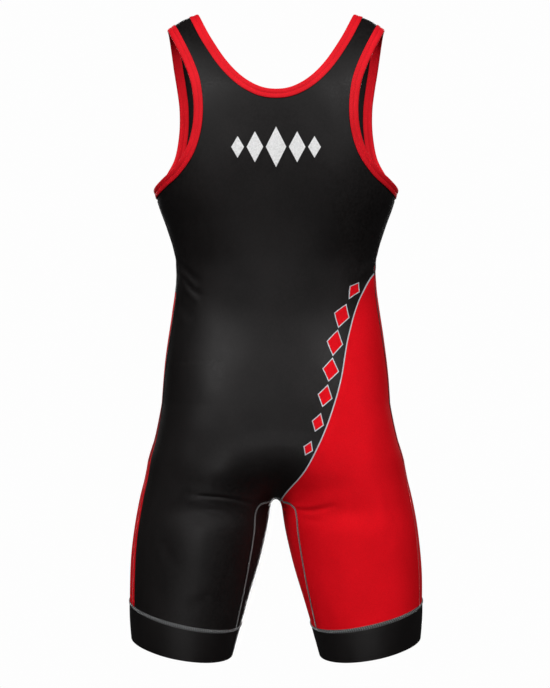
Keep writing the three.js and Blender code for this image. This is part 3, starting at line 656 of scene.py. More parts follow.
# ---------- meshes ----------
def make_object(name, verts, faces, mats, face_mat=None, attrs=None, uv=None, smooth=True):
    """verts in mm, faces a list of index arrays or one (n, 3 or 4) array."""
    mesh = bpy.data.meshes.new(name)
    v = np.asarray(verts, float) * MM
    f = np.asarray(faces, int)
    k = f.shape[1]
    mesh.vertices.add(len(v))
    mesh.vertices.foreach_set("co", v.ravel())
    mesh.loops.add(len(f) * k)
    mesh.loops.foreach_set("vertex_index", f.ravel())
    mesh.polygons.add(len(f))
    mesh.polygons.foreach_set("loop_start", np.arange(len(f)) * k)
    mesh.polygons.foreach_set("use_smooth", np.full(len(f), smooth))
    for m in mats:
        mesh.materials.append(m)
    if face_mat is not None:
        mesh.polygons.foreach_set("material_index", np.asarray(face_mat, np.int32))
    mesh.update(calc_edges=True)
    for key, val in (attrs or {}).items():
        a = mesh.attributes.new(key, "FLOAT", "POINT")
        a.data.foreach_set("value", np.asarray(val, np.float32))
    if uv is not None:
        layer = mesh.uv_layers.new(name="cloth")
        layer.data.foreach_set("uv", np.asarray(uv, np.float32)[f.ravel()].ravel())
    mesh.validate()
    obj = bpy.data.objects.new(name, mesh)
    bpy.context.scene.collection.objects.link(obj)
    return obj


def weld(verts, faces, grain=1e-3):
    key = np.round(verts / grain).astype(np.int64)
    _, first, back = np.unique(key, axis=0, return_index=True, return_inverse=True)
    back = back.ravel()
    f = back[faces]
    good = np.array([len(set(q)) >= 3 for q in f]) if len(f) < 5 else ~(
        (f[:, 0] == f[:, 1]) & (f[:, 2] == f[:, 3]))
    return first, f[good]


def grid_faces(r, c, base=0, close_c=False, close_r=False):
    i = np.arange(r if close_r else r - 1)[:, None]
    j = np.arange(c if close_c else c - 1)[None, :]
    i2, j2 = (i + 1) % r, (j + 1) % c
    return (np.stack([i * c + j, i * c + j2, i2 * c + j2, i2 * c + j], -1) + base).reshape(-1, 4)


def orient(verts, faces, normals):
    """Faces turned so that they look along the given vertex normals."""
    a, b, c = verts[faces[:, 0]], verts[faces[:, 1]], verts[faces[:, 2]]
    d = verts[faces[:, 3]]
    fn = np.cross(c - a, d - b)
    wrong = (fn * normals[faces[:, 0]]).sum(1) < 0
    faces = faces.copy()
    faces[wrong] = faces[wrong][:, ::-1]
    return faces


def mirror(p):
    return p * np.array([-1.0, 1.0, 1.0])


# ---------- node helpers ----------
class Graph:
    """Small helper to write procedural materials as expressions."""

    def __init__(self, name):
        self.mat = bpy.data.materials.new(name)
        self.mat.use_nodes = True
        self.t = self.mat.node_tree
        self.bsdf = next(n for n in self.t.nodes if n.type == "BSDF_PRINCIPLED")

    def node(self, kind, **props):
        n = self.t.nodes.new(kind)
        for k, v in props.items():
            setattr(n, k, v)
        return n

    def put(self, socket, value):
        if isinstance(value, bpy.types.NodeSocket):
            self.t.links.new(value, socket)
        else:
            socket.default_value = value

    def math(self, op, a, b=None, c=None, clamp=False):
        n = self.node("ShaderNodeMath", operation=op, use_clamp=clamp)
        for i, v in enumerate((a, b, c)):
            if v is not None:
                self.put(n.inputs[i], v)
        return n.outputs[0]

    def attr(self, name):
        return self.node("ShaderNodeAttribute", attribute_name=name).outputs["Fac"]

    def coords(self, kind="Object"):
        return self.node("ShaderNodeTexCoord").outputs[kind]

    def xyz(self, v):
        n = self.node("ShaderNodeSeparateXYZ")
        self.put(n.inputs[0], v)
        return n.outputs

    def scaled(self, v, scale):
        n = self.node("ShaderNodeMapping")
        self.put(n.inputs["Vector"], v)
        n.inputs["Scale"].default_value = scale
        return n.outputs[0]

    def noise(self, v, scale, detail=3.0, rough=0.55, distortion=0.0):
        n = self.node("ShaderNodeTexNoise")
        self.put(n.inputs["Vector"], v)
        n.inputs["Scale"].default_value = scale
        n.inputs["Detail"].default_value = detail
        n.inputs["Roughness"].default_value = rough
        n.inputs["Distortion"].default_value = distortion
        return n.outputs["Fac"]

    def ramp(self, x, lo, hi):
        n = self.node("ShaderNodeMapRange", clamp=True)
        n.interpolation_type = "SMOOTHSTEP"
        self.put(n.inputs["Value"], x)
        n.inputs["From Min"].default_value = lo
        n.inputs["From Max"].default_value = hi
        return n.outputs["Result"]

    def span(self, x, lo, hi, a, b):
        n = self.node("ShaderNodeMapRange", clamp=True)
        self.put(n.inputs["Value"], x)
        for k, v in (("From Min", lo), ("From Max", hi), ("To Min", a), ("To Max", b)):
            n.inputs[k].default_value = v
        return n.outputs["Result"]

    def mix(self, f, a, b, mode="MIX"):
        n = self.node("ShaderNodeMix", data_type="RGBA", blend_type=mode)
        self.put(n.inputs[0], f)
        for sock, v in ((n.inputs[6], a), (n.inputs[7], b)):
            if isinstance(v, tuple):
                v = (*v, 1.0) if len(v) == 3 else v
            self.put(sock, v)
        return n.outputs[2]

    def bump(self, height, strength, distance, normal=None):
        n = self.node("ShaderNodeBump")
        n.inputs["Strength"].default_value = strength
        n.inputs["Distance"].default_value = distance
        self.put(n.inputs["Height"], height)
        if normal is not None:
            self.put(n.inputs["Normal"], normal)
        return n.outputs[0]


def knit_height(g, pitch=0.00085):
    """Fine interlock knit: wales and courses, broken up by yarn noise."""
    uv = g.node("ShaderNodeUVMap", uv_map="cloth").outputs[0]
    u, v, _ = g.xyz(uv)
    k = 2 * math.pi / pitch
    wale = g.math("SINE", g.math("MULTIPLY", u, k))
    lean = g.math("SINE", g.math("ADD", g.math("MULTIPLY", v, k * 0.8), g.math("MULTIPLY", wale, 1.2)))
    grain = g.noise(g.coords(), 900, 2.0)
    return g.math("ADD", g.math("MULTIPLY", g.math("ADD", g.math("MULTIPLY", wale, 0.35), g.math("MULTIPLY", lean, 0.2)), 0.5),
                  g.math("MULTIPLY", grain, 0.8))


BLACK = (0.0036, 0.0029, 0.0029)
BLACK_WORN = (0.0086, 0.0073, 0.0073)
RED = (0.660, 0.0030, 0.0090)
RED_DEEP = (0.560, 0.0020, 0.0065)
SILVER = (0.42, 0.46, 0.49)
WHITE = (0.78, 0.78, 0.78)


def finish_cloth(g, colour, rough, spec=0.2, sheen=0.0, bump=None):
    b = g.bsdf
    g.put(b.inputs["Base Color"], colour)
    g.put(b.inputs["Roughness"], rough)
    b.inputs["Specular IOR Level"].default_value = spec
    b.inputs["Sheen Weight"].default_value = sheen
    b.inputs["Sheen Roughness"].default_value = 0.45
    if bump is not None:
        g.put(b.inputs["Normal"], bump)
    return g.mat


def printed_knit(name, motif):
    g = Graph(name)
    d, s = g.attr("print_d"), g.attr("print_s")
    o = g.coords()
    slow = g.noise(g.scaled(o, (1, 1, 0.6)), 14, 3)
    fibre = g.noise(o, 700, 2)
    mottle = g.noise(g.scaled(o, (1, 1, 0.8)), 330, 4, 0.6, 0.3)
    black = g.mix(g.span(g.math("ADD", g.math("MULTIPLY", slow, 0.45), g.math("MULTIPLY", mottle, 0.55)), 0.40, 0.62, 0.0, 1.0),
                  BLACK, BLACK_WORN)
    red = g.mix(g.span(slow, 0.3, 0.7, 0.0, 1.0), RED_DEEP, RED)
    # clean border
    colour = g.mix(g.ramp(d, -0.12, 0.12), black, red)
    line = g.math("SUBTRACT", 1.0, g.ramp(g.math("ABSOLUTE", d), 0.62, 0.9))
    line = g.math("MULTIPLY", line, g.math("LESS_THAN", s, 4000.0))
    # a row of plain lozenges beside it, on the black side, graded in size
    period = 37.0
    f = g.math("MULTIPLY", g.ramp(s, 165.0, 250.0), g.math("SUBTRACT", 1.0, g.ramp(s, 300.0, 470.0)))
    f = g.math("MULTIPLY_ADD", f, 0.52, 0.48)
    cell = g.math("SUBTRACT", g.math("FLOORED_MODULO", s, period), period / 2)
    long_ = g.math("MULTIPLY", f, 15.5)
    wide = g.math("MULTIPLY", f, 10.0)
    off = g.math("ADD", d, g.math("MULTIPLY_ADD", f, 13.0, 3.0))
    m = g.math("ADD", g.math("DIVIDE", g.math("ABSOLUTE", cell), long_), g.math("DIVIDE", g.math("ABSOLUTE", off), wide))
    live = g.math("MULTIPLY", g.math("GREATER_THAN", s, 185.0), g.math("LESS_THAN", s, 444.0))
    edge = g.math("MULTIPLY", g.math("SUBTRACT", m, 1.0), wide)          # about the distance outside, mm
    inside = g.math("MULTIPLY", g.math("SUBTRACT", 1.0, g.ramp(edge, -0.12, 0.12)), live)
    ring = g.math("MULTIPLY", g.math("MULTIPLY", g.ramp(edge, -0.25, 0.05), g.math("SUBTRACT", 1.0, g.ramp(edge, 1.2, 1.5))), live)
    colour = g.mix(inside, colour, red)
    silver = g.math("MAXIMUM", line, ring)
    colour = g.mix(silver, colour, SILVER)
    red_share = g.math("MAXIMUM", g.ramp(d, -0.12, 0.12), inside)
    worn = g.math("ADD", g.math("MULTIPLY", fibre, 0.5), g.math("MULTIPLY", mottle, 0.5))
    rough = g.math("MULTIPLY_ADD", red_share, 0.30, g.span(worn, 0.38, 0.62, 0.43, 0.61))
    # the cloth over the shoulders is stretched flat and has no gloss
    height = g.xyz(o)[2]
    spec = g.math("MULTIPLY", g.math("MULTIPLY_ADD", red_share, -0.09, 0.155), g.span(height, -0.06, 0.012, 1.0, 0.25))
    print_height = g.math("MULTIPLY", silver, 0.0)
    if motif:
        # five plain graded lozenges across the upper back
        x, _, z = g.xyz(o)
        ax = g.math("MULTIPLY", g.math("ABSOLUTE", x), 1000.0)
        az = g.math("MULTIPLY", g.math("ABSOLUTE", g.math("ADD", z, 0.178)), 1000.0)
        best = None
        for cx, a, b in ((0.0, 13.5, 27.0), (28.0, 11.0, 20.5), (51.0, 8.5, 14.5)):
            w = g.math("ADD", g.math("DIVIDE", g.math("ABSOLUTE", g.math("SUBTRACT", ax, cx)), a), g.math("DIVIDE", az, b))
            w = g.math("MULTIPLY", g.math("SUBTRACT", w, 1.0), a)
            best = w if best is None else g.math("MINIMUM", best, w)
        _, y, _ = g.xyz(o)
        back = g.math("GREATER_THAN", y, 0.0)
        fill = g.math("MULTIPLY", g.math("SUBTRACT", 1.0, g.ramp(best, -0.15, 0.15)), back)
        grain = g.noise(o, 420, 2)
        colour = g.mix(fill, colour, g.mix(g.span(grain, 0.3, 0.7, 0, 1), (0.62, 0.62, 0.62), WHITE))
        rough = g.math("SUBTRACT", rough, g.math("MULTIPLY", fill, 0.12))
        print_height = fill
    # thread-to-thread shade
    colour = g.mix(g.span(fibre, 0.25, 0.75, 0.0, 0.16), colour, (0.0, 0.0, 0.0))
    fine = g.bump(knit_height(g), 0.35, 0.00016)
    raised = g.bump(print_height, 0.6, 0.0002, fine)
    finish_cloth(g, colour, rough, 0.2, 0.0, raised)
    g.put(g.bsdf.inputs["Specular IOR Level"], spec)
    return g.mat


def plain_knit(name, lo, hi, rough=(0.48, 0.56), spec=0.155, strength=0.35):
    g = Graph(name)
    o = g.coords()
    slow, fibre = g.noise(o, 22, 3), g.noise(o, 700, 2)
    colour = g.mix(g.span(slow, 0.3, 0.7, 0, 1), lo, hi)
    colour = g.mix(g.span(fibre, 0.25, 0.75, 0.0, 0.16), colour, (0, 0, 0))
    return finish_cloth(g, colour, g.span(fibre, 0.3, 0.7, *rough), spec, 0.0,
                        g.bump(knit_height(g), strength, 0.00016))


def thread(name, lo, hi, rough=0.6):
    g = Graph(name)
    o = g.coords()
    twist = g.noise(g.scaled(o, (1, 1, 1.6)), 1500, 2)
    slow = g.noise(o, 60, 2)
    colour = g.mix(g.span(g.math("ADD", twist, g.math("MULTIPLY", slow, 0.4)), 0.45, 0.95, 0, 1), lo, hi)
    return finish_cloth(g, colour, g.span(twist, 0.3, 0.7, rough - 0.06, rough + 0.08), 0.4, 0.0,
                        g.bump(twist, 0.4, 0.0002))


KNIT_BACK = printed_knit("knit_printed_back", True)
KNIT_FRONT = printed_knit("knit_printed_front", False)
BAND = plain_knit("band_black", (0.0040, 0.0033, 0.0033), (0.0066, 0.0057, 0.0057))
INSIDE = plain_knit("knit_inside", (0.0050, 0.0043, 0.0043), (0.0090, 0.0079, 0.0079), (0.60, 0.72), 0.12, 0.35)
BIND = plain_knit("binding_red", (0.600, 0.0042, 0.0110), (0.700, 0.0062, 0.0150), (0.64, 0.78), 0.12, 0.3)
GREY = thread("thread_grey", (0.120, 0.122, 0.124), (0.240, 0.244, 0.248))
GREY_BASE = thread("thread_grey_base", (0.008, 0.008, 0.008), (0.018, 0.018, 0.018), 0.8)
SEAM_RED = thread("thread_seam_red", (0.36, 0.030, 0.034), (0.52, 0.075, 0.080), 0.7)
DARK_THREAD = thread("thread_dark", (0.010, 0.010, 0.010), (0.022, 0.022, 0.022), 0.65)
RED_THREAD = thread("thread_red", (0.20, 0.008, 0.012), (0.34, 0.016, 0.022), 0.7)


# ---------- panels ----------
def panel(name, side, mat):
    rows, neck, arm = half_panel(side)
    arc = lambda g: np.concatenate([np.zeros((g.shape[0], 1)), np.cumsum(np.linalg.norm(np.diff(g, axis=1), axis=2), axis=1)], 1)
    r_arc = arc(rows)
    # legs start away from the middle line in the cloth's own plane, so that they don't overlap
    down = np.concatenate([[0], np.cumsum(np.linalg.norm(np.diff(rows[:, -1], axis=0), axis=1))])
    n_leg = ROWS_LEG * SPLIT_LEG
    shift = np.zeros(len(rows))
    shift[-n_leg:] = 12 + 0.25 * np.linspace(0, 200, n_leg)
    u_rows = r_arc + shift[:, None] + np.where(np.arange(len(rows)) < len(neck), neck_shift(rows, len(neck)), 0)[:, None]
    v_rows = np.broadcast_to(down[:, None], u_rows.shape)
    pieces = [(rows, u_rows, v_rows),
              (neck, u_rows[:len(neck), :1] - arc(neck), v_rows[:len(neck), :neck.shape[1]]),
              (arm, u_rows[:len(arm), -1:] + arc(arm), v_rows[:len(arm), :arm.shape[1]])]
    verts, faces, uvs, base = [], [], [], 0
    for m in (1, -1):
        for g, u, v in pieces:
            p = g if m > 0 else mirror(g)
            verts.append(p.reshape(-1, 3))
            uvs.append(np.stack([0.5 + m * u.ravel() * 0.001, 0.98 - v.ravel() * 0.001], -1))
            faces.append(grid_faces(g.shape[0], g.shape[1], base))
            base += g.shape[0] * g.shape[1]
    v, f, uv = np.concatenate(verts), np.concatenate(faces), np.concatenate(uvs)
    first, f = weld(v, f)
    v, uv = v[first], uv[first]
    n = normal_at(v)
    f = orient(v, f, n)
    d, s = print_fields(v, n, side)
    v = v + n * creases(v, n)[:, None]
    obj = make_object(name, v, f, [mat], attrs={"print_d": d, "print_s": s}, uv=uv)
    return obj, rows


def inner_face(name, rows, mat):
    """The unprinted inside of a panel, a coarser skin just behind the printed one."""
    i = np.unique(np.append(np.arange(0, len(rows), 2), len(rows) - 1))
    g = rows[i][:, ::2]
    u = np.concatenate([np.zeros((len(g), 1)), np.cumsum(np.linalg.norm(np.diff(g, axis=1), axis=2), axis=1)], 1)
    v = np.concatenate([[0], np.cumsum(np.linalg.norm(np.diff(g[:, -1], axis=0), axis=1))])[:, None] + 0 * u
    verts = np.concatenate([g.reshape(-1, 3), mirror(g.reshape(-1, 3))])
    uv = np.concatenate([np.stack([0.5 + m * u.ravel() * 0.001, 0.98 - v.ravel() * 0.001], -1) for m in (1, -1)])
    f = grid_faces(*g.shape[:2])
    first, f = weld(verts, np.concatenate([f, f + g.shape[0] * g.shape[1]]))
    verts, uv = verts[first], uv[first]
    n = normal_at(verts)
    f = orient(verts, f, -n)
    verts = verts + n * (creases(verts, n) - 0.8)[:, None]
    return make_object(name, verts, f, [mat], uv=uv)


def neck_shift(rows, n):
    """How far the neck's inner line is from the middle in the cloth's own plane."""
    out = np.zeros(len(rows))
    out[:n] = np.hypot(rows[:n, 0, 0], 0)
    return out


# ---------- bindings ----------
# across the binding: distance from its inner line towards the finished edge, and height off the cloth
BIND_PROFILE = [
    (1.6, 0.30), (0.5, 0.34), (0.05, 0.60), (0.10, 0.98), (0.7, 1.24), (2.0, 1.34), (3.6, 1.36), (4.9, 1.30),
    (5.5, 1.02), (6.0, 0.84), (6.6, 1.06), (7.3, 1.42), (8.8, 1.62), (10.6, 1.72), (11.9, 1.50), (12.8, 0.90),
    (13.15, 0.0), (13.1, -1.1), (12.6, -2.1), (11.6, -2.75), (9.0, -2.85), (6.6, -2.60), (6.0, -2.40),
    (5.4, -2.60), (2.5, -2.72), (0.6, -2.65), (0.0, -2.3), (0.3, -1.9),
]


def binding(name, line, opening, mirrored=False):
    count = int(line.length / (2.4 / FINE))
    s = np.linspace(0, line.length, count + 1)
    edge, inner = stations(line, s, opening)
    if opening == "neck":
        edge = np.concatenate([edge, mirror(edge)[1:-1][::-1]])
        inner = np.concatenate([inner, mirror(inner)[1:-1][::-1]])
        s = np.concatenate([s, (2 * line.length - s)[1:-1][::-1]])
    else:
        edge, inner, s = edge[:-1], inner[:-1], s[:-1]
    n = len(edge)
    out = unit(edge - inner)
    prof = np.array(BIND_PROFILE)
    t = np.clip(prof[:, 0] / BIND_WIDTH, 0, 1)
    base = inner[:, None] + (edge - inner)[:, None] * t[None, :, None]
    base = onto_form(base.reshape(-1, 3), 3).reshape(base.shape)
    p, nrm = settle(base.reshape(-1, 3))
    p, nrm = p.reshape(base.shape), nrm.reshape(base.shape)
    # slight pucker between stitches and a slow change of roll
    pucker = 1 + 0.018 * np.sin(s * 2 * np.pi / 9.2)[:, None] + 0.04 * np.sin(s * 0.045 + 1.0)[:, None] \
        + 0.025 * np.sin(s * 0.13 + 0.3)[:, None]
    over = np.maximum(0, prof[:, 0] - BIND_WIDTH)
    verts = p + nrm * (prof[None, :, 1] * np.where(prof[:, 1] > 0, pucker, 1))[..., None] \
        + out[:, None] * over[None, :, None]
    length = np.concatenate([[0], np.cumsum(np.linalg.norm(np.diff(verts[:, 5], axis=0), axis=1))])
    across = np.concatenate([[0], np.cumsum(np.hypot(*np.diff(prof, axis=0).T))])
    uv = np.stack(np.broadcast_arrays(across[None, :] * 0.001, length[:, None] * 0.001 * 0.6), -1).reshape(-1, 2)
    f = grid_faces(n, len(prof), close_r=True)
    v = verts.reshape(-1, 3)
    if mirrored:
        v = mirror(v)
    # outside is away from the fold's own middle
    mid = (verts[:, 10] + verts[:, 20]) / 2
    hub = np.repeat(mid, len(prof), axis=0) if not mirrored else mirror(np.repeat(mid, len(prof), axis=0))
    f = orient(v, f, v - hub)
    obj = make_object(name, v, f, [BIND], uv=uv)
    # rows of coverstitch: points along the leaf
    tracks = []
    for w, lift in ((6.0, 1.36), (1.5, 1.30)):
        k = np.interp(w, prof[1:11, 0], np.arange(1, 11))
        i0 = int(k)
        q = verts[:, i0] * (1 - (k - i0)) + verts[:, i0 + 1] * (k - i0)
        nn = nrm[:, i0]
        tracks.append((mirror(q) if mirrored else q, mirror(nn) if mirrored else nn))
    return obj, tracks, length[-1]


# ---------- threads ----------
def resample(path, step, closed):
    p = np.concatenate([path, path[:1]]) if closed else path
    r = Ruler(p)
    n = max(4, int(round(r.length / step)))
    d = np.linspace(0, r.length, n + 1)
    return r, d[:-1] if closed else d


def frames(path, normals, step, closed):
    r, d = resample(path, step, closed)
    p = r.at(d)
    nn = np.concatenate([normals, normals[:1]]) if closed else normals
    n = unit(np.stack([np.interp(d, r.s, nn[:, k]) for k in range(3)], -1))
    h = step * 0.5
    if closed:
        t = unit(r.at((d + h) % r.length) - r.at((d - h) % r.length))
    else:
        t = unit(r.at(d + h) - r.at(d - h))
    b = unit(np.cross(t, n))
    return p, unit(np.cross(b, t)), b, t, d


def tube_runs(runs, radius, sides=6):
    """Many tubes at once: runs (m, k, 3). Returns vertices and quads; ends closed to a point."""
    m, k, _ = runs.shape
    t = np.gradient(runs, axis=1)
    t = unit(t)
    up = np.broadcast_to(np.array((0.31, 0.52, 0.79)), t.shape)
    a = unit(np.cross(t, up))
    b = np.cross(t, a)
    ang = np.arange(sides) * 2 * np.pi / sides
    taper = np.ones(k)
    taper[0] = taper[-1] = 0.35
    ring = (a[:, :, None] * np.cos(ang)[None, None, :, None] + b[:, :, None] * np.sin(ang)[None, None, :, None])
    v = runs[:, :, None] + ring * (radius * taper)[None, :, None, None]
    f = []
    base = grid_faces(k, sides, close_c=True)
    f = (base[None] + (np.arange(m) * k * sides)[:, None, None]).reshape(-1, 4)
    caps = []
    for e in (0, k - 1):
        j = np.arange(sides)
        # a closed end as two quads for six sides
        c = np.array([[0, 1, 2, 3], [0, 3, 4, 5]]) if sides == 6 else np.array([[0, 1, 2, 3]])
        if e == 0:
            c = c[:, ::-1]
        caps.append((c[None] + (np.arange(m) * k * sides + e * sides)[:, None, None]).reshape(-1, 4))
    f = np.concatenate([f] + caps)
    return v.reshape(-1, 3), f


def stitches(path, normals, closed, length, gap, radius, lift=0.1, sides=6):
    """A row of short stitches along a path."""
    p, n, b, t, d = frames(path, normals, length + gap, closed)
    k = np.linspace(-0.5, 0.5, 5)
    arch = np.array([-0.9, 0.35, 0.6, 0.35, -0.9]) * radius
    runs = p[:, None] + t[:, None] * (k * length)[None, :, None] + n[:, None] * (arch + lift)[None, :, None]
    return tube_runs(runs, radius, sides)


def flatlock(name, path, normals, width, closed, pitch=2.1, radius=0.32, base_mat=None, mat=None, lift=0.0,
             strands=((0.30, 0.0, 1.0), (-0.24, 0.5, 0.8)), narrow=0.0, side_radius=0.32):
    """A flat seam: a low strip of thread, needle lines along both sides and loops that cross it.
    strands: lean, offset and thickness of each loop in a pitch. narrow: how much it slims towards the sides."""
    slim = lambda nn: (1 - narrow * (1 - np.abs(nn[:, 1:2])))
    p, n, b, t, d = frames(path, normals, 1.5, closed)
    prof = np.array([(-0.5, -0.25), (-0.46, 0.30), (-0.25, 0.50), (0, 0.42), (0.25, 0.50), (0.46, 0.30), (0.5, -0.25)])
    v = p[:, None] + (b * slim(n))[:, None] * (prof[:, 0] * width)[None, :, None] + n[:, None] * (prof[:, 1] + lift)[None, :, None]
    f = grid_faces(len(p), len(prof), close_r=closed)
    vv, ff, mm = [v.reshape(-1, 3)], [orient(v.reshape(-1, 3), f, np.repeat(n, len(prof), axis=0))], [np.zeros(len(f), int)]
    count = len(vv[0])
    # loops: a slanting bar and a straight bar to each pitch
    q, qn, qb, qt, _ = frames(path, normals, pitch, closed)
    k = np.linspace(-0.5, 0.5, 6)
    arch = 0.62 + 0.16 * np.cos(np.pi * k)
    qb = qb * slim(qn)
    for lean, off, thick in strands:
        rr = q[:, None] + qb[:, None] * (k * width * 0.9)[None, :, None] \
            + qt[:, None] * ((k * lean * 2 + off) * pitch)[None, :, None] + qn[:, None] * (arch + lift)[None, :, None]
        tv, tf = tube_runs(rr, radius * thick)
        vv.append(tv)
        ff.append(tf + count)
        mm.append(np.ones(len(tf), int))
        count += len(tv)
    for edge in (-0.46, 0.46):
        e = p + b * slim(n) * (edge * width) + n * (0.42 + lift)
        tv, tf = stitches(e, n, closed, pitch * 0.7, pitch * 0.3, min(radius, side_radius))
        vv.append(tv)
        ff.append(tf + count)
        mm.append(np.ones(len(tf), int))
        count += len(tv)
    return make_object(name, np.concatenate(vv), np.concatenate(ff), [base_mat or GREY_BASE, mat or GREY],
                       face_mat=np.concatenate(mm))


# ---------- leg bands ----------
def cuff_rings(ring, levels):
    """Rings of the band on the form: levels from 0 at its seam to 1 at the hem."""
    top = np.array([T_CX(CUFF_SEAM[0]), T_CY(CUFF_SEAM[0]), CUFF_SEAM[0]], float)
    a = np.arctan2(ring[:, 1] - top[1], ring[:, 0] - top[0])
    t = np.asarray(levels, float)[:, None]
    z = lerp(CUFF_SEAM[0], LEG_MOUTH[0], t)
    out = lerp(CUFF_SEAM[1], LEG_MOUTH[1], t)
    c = np.stack([T_CX(z), T_CY(z), z], -1)
    d = np.stack(np.broadcast_arrays(np.cos(a)[None], np.sin(a)[None],
                                     out * np.cos(a)[None] + CUFF_SEAM[2] * np.sin(a)[None]), -1)
    p = cast(np.broadcast_to(c, d.shape), d)
    fix = (ring - p[0])[None] * (1 - np.clip(t * 1.6, 0, 1))[..., None] if levels[0] == 0 else 0
    return onto_form(p + fix, 3)


def cuff(name, back_row, front_row, mirrored):
    ring = np.concatenate([back_row, front_row[::-1][1:-1]])
    r = Ruler(np.concatenate([ring, ring[:1]]))
    m = int(280 * FINE)
    ring = onto_form(r.at(np.linspace(0, r.length, m + 1)[:-1]), 3)
    levels = np.linspace(0, 1, int(24 * FINE) + 1)
    base = cuff_rings(ring, levels)
    n = normal_at(base)
    lift = 0.30 + 0.35 * np.sin(np.pi * np.clip(levels * 1.05, 0, 1)) ** 0.8
    lift[0] = -0.1
    lift[1] = 0.18
    ang = np.linspace(0, 2 * np.pi, m, endpoint=False)
    wave = (0.35 * np.sin(3 * ang + 0.7) + 0.25 * np.sin(5 * ang + 2.0)) * (levels ** 2)[:, None]
    h = creases(base.reshape(-1, 3), n.reshape(-1, 3)).reshape(n.shape[:2])
    outer = base + n * (lift[:, None] + h + wave)[..., None]
    down = unit(base[-1] - base[-3])
    fold = []
    for k in range(1, 8):
        a = np.pi * k / 8
        fold.append(outer[-1] + down * (1.1 * np.sin(a)) - n[-1] * (1.35 * (1 - np.cos(a)))[..., None]
                    if np.ndim(a) else outer[-1] + down * (1.1 * math.sin(a)) - n[-1] * (1.35 * (1 - math.cos(a))))
    back_levels = levels[::-2]
    ib = base[::-2] + n[::-2] * ((lift[::-2])[:, None] + h[::-2] + wave[::-2] - 2.7)[..., None]
    grid = np.concatenate([outer, np.array(fold), ib])
    v = grid.reshape(-1, 3)
    f = grid_faces(len(grid), m, close_c=True)
    nn = np.concatenate([n, np.array([(math.cos(math.pi * k / 8) * n[-1] + math.sin(math.pi * k / 8) * down) for k in range(1, 8)]), -n[::-2]])
    f = orient(v, f, nn.reshape(-1, 3))
    around = np.concatenate([[0], np.cumsum(np.linalg.norm(np.diff(outer[0], axis=0), axis=1))])
    along = np.concatenate([[0], np.cumsum(np.linalg.norm(np.diff(grid[:, 0], axis=0), axis=1))])
    uv = np.stack(np.broadcast_arrays(around[None] * 0.001, 0.5 - along[:, None] * 0.001), -1).reshape(-1, 2)
    if mirrored:
        v = mirror(v)
        f = f[:, ::-1]
    obj = make_object(name, v, f, [BAND], uv=uv)
    seam_n = n[0]
    seam_p = ring + seam_n * creases(ring, seam_n)[:, None]
    size = (r.length, float(np.linalg.norm(np.diff(grid[:, 0], axis=0), axis=1).sum()))
    if mirrored:
        seam_p, seam_n = mirror(seam_p), mirror(seam_n)
    return obj, seam_p, seam_n, size


# ---------- build ----------
back_obj, back_rows = panel("cloth_back_panel", 1, KNIT_BACK)
front_obj, front_rows = panel("cloth_front_panel", -1, KNIT_FRONT)
back_inner = inner_face("cloth_back_inner_face", back_rows, INSIDE)
front_inner = inner_face("cloth_front_inner_face", front_rows, INSIDE)
neck_obj, neck_tracks, neck_len = binding("cloth_neck_binding", NECK_LINE, "neck")
arm_l, arm_l_tracks, arm_len = binding("cloth_armhole_binding_left", ARM_LINE, "arm")
arm_r, arm_r_tracks, _ = binding("cloth_armhole_binding_right", ARM_LINE, "arm", True)
cuff_l, cl_p, cl_n, cuff_size = cuff("cloth_leg_band_left", back_rows[-1], front_rows[-1], False)
cuff_r, cr_p, cr_n, _ = cuff("cloth_leg_band_right", back_rows[-1], front_rows[-1], True)

BAND_STRANDS = ((0.16, 0.0, 1.0), (-0.5, 0.5, 0.34))
threads = []
threads.append(flatlock("flatlock_leg_band_left", cl_p, cl_n, 5.2, True, pitch=3.1, radius=0.48, lift=0.0,
                        strands=BAND_STRANDS, narrow=0.45, side_radius=0.19))
threads.append(flatlock("flatlock_leg_band_right", cr_p, cr_n, 5.2, True, pitch=3.1, radius=0.48, lift=0.0,
                        strands=BAND_STRANDS, narrow=0.45, side_radius=0.19))


def on_cloth(path):
    n = normal_at(path)
    return path + n * creases(path, n)[:, None], n


inner_leg = INSEAM_LINE.at(np.linspace(1.0, INSEAM_LINE.length - 2.0, 160))
both = np.concatenate([mirror(inner_leg)[::-1], CROTCH[None], inner_leg])
for _ in range(4):     # the two inseams meet in a short round, not a point
    c = len(both) // 2
    both[c - 6:c + 7] = (both[c - 7:c + 6] + 2 * both[c - 6:c + 7] + both[c - 5:c + 8]) / 4
p, n = on_cloth(onto_form(both))
threads.append(flatlock("flatlock_inseam", p, n, 2.5, False, pitch=1.9, radius=0.27, lift=0.0))

zs = np.linspace(float(ARM_LINE.p[0, 2]) - 15, SIDE_AT_CUFF + 2.5, 260)
side_path, side_n = on_cloth(side_point(zs))
for m, name in ((1, "left"), (-1, "right")):
    q, qn = (side_path, side_n) if m > 0 else (mirror(side_path), mirror(side_n))
    leg = zs < -600
    threads.append(flatlock(f"flatlock_side_{name}_leg", q[leg], qn[leg], 1.5, False, pitch=1.6, radius=0.20,
                            base_mat=SEAM_RED, mat=SEAM_RED, lift=-0.22))
    threads.append(flatlock(f"flatlock_side_{name}_trunk", q[~leg], qn[~leg], 1.9, False, pitch=1.9, radius=0.24,
                            base_mat=DARK_THREAD, mat=DARK_THREAD, lift=-0.1))

shoulder_path, shoulder_n = on_cloth(front_rows[0])
for m, name in ((1, "left"), (-1, "right")):
    q, qn = (shoulder_path, shoulder_n) if m > 0 else (mirror(shoulder_path), mirror(shoulder_n))
    threads.append(flatlock(f"flatlock_shoulder_{name}", q, qn, 2.4, False, pitch=1.9, radius=0.25,
                            base_mat=DARK_THREAD, mat=DARK_THREAD))

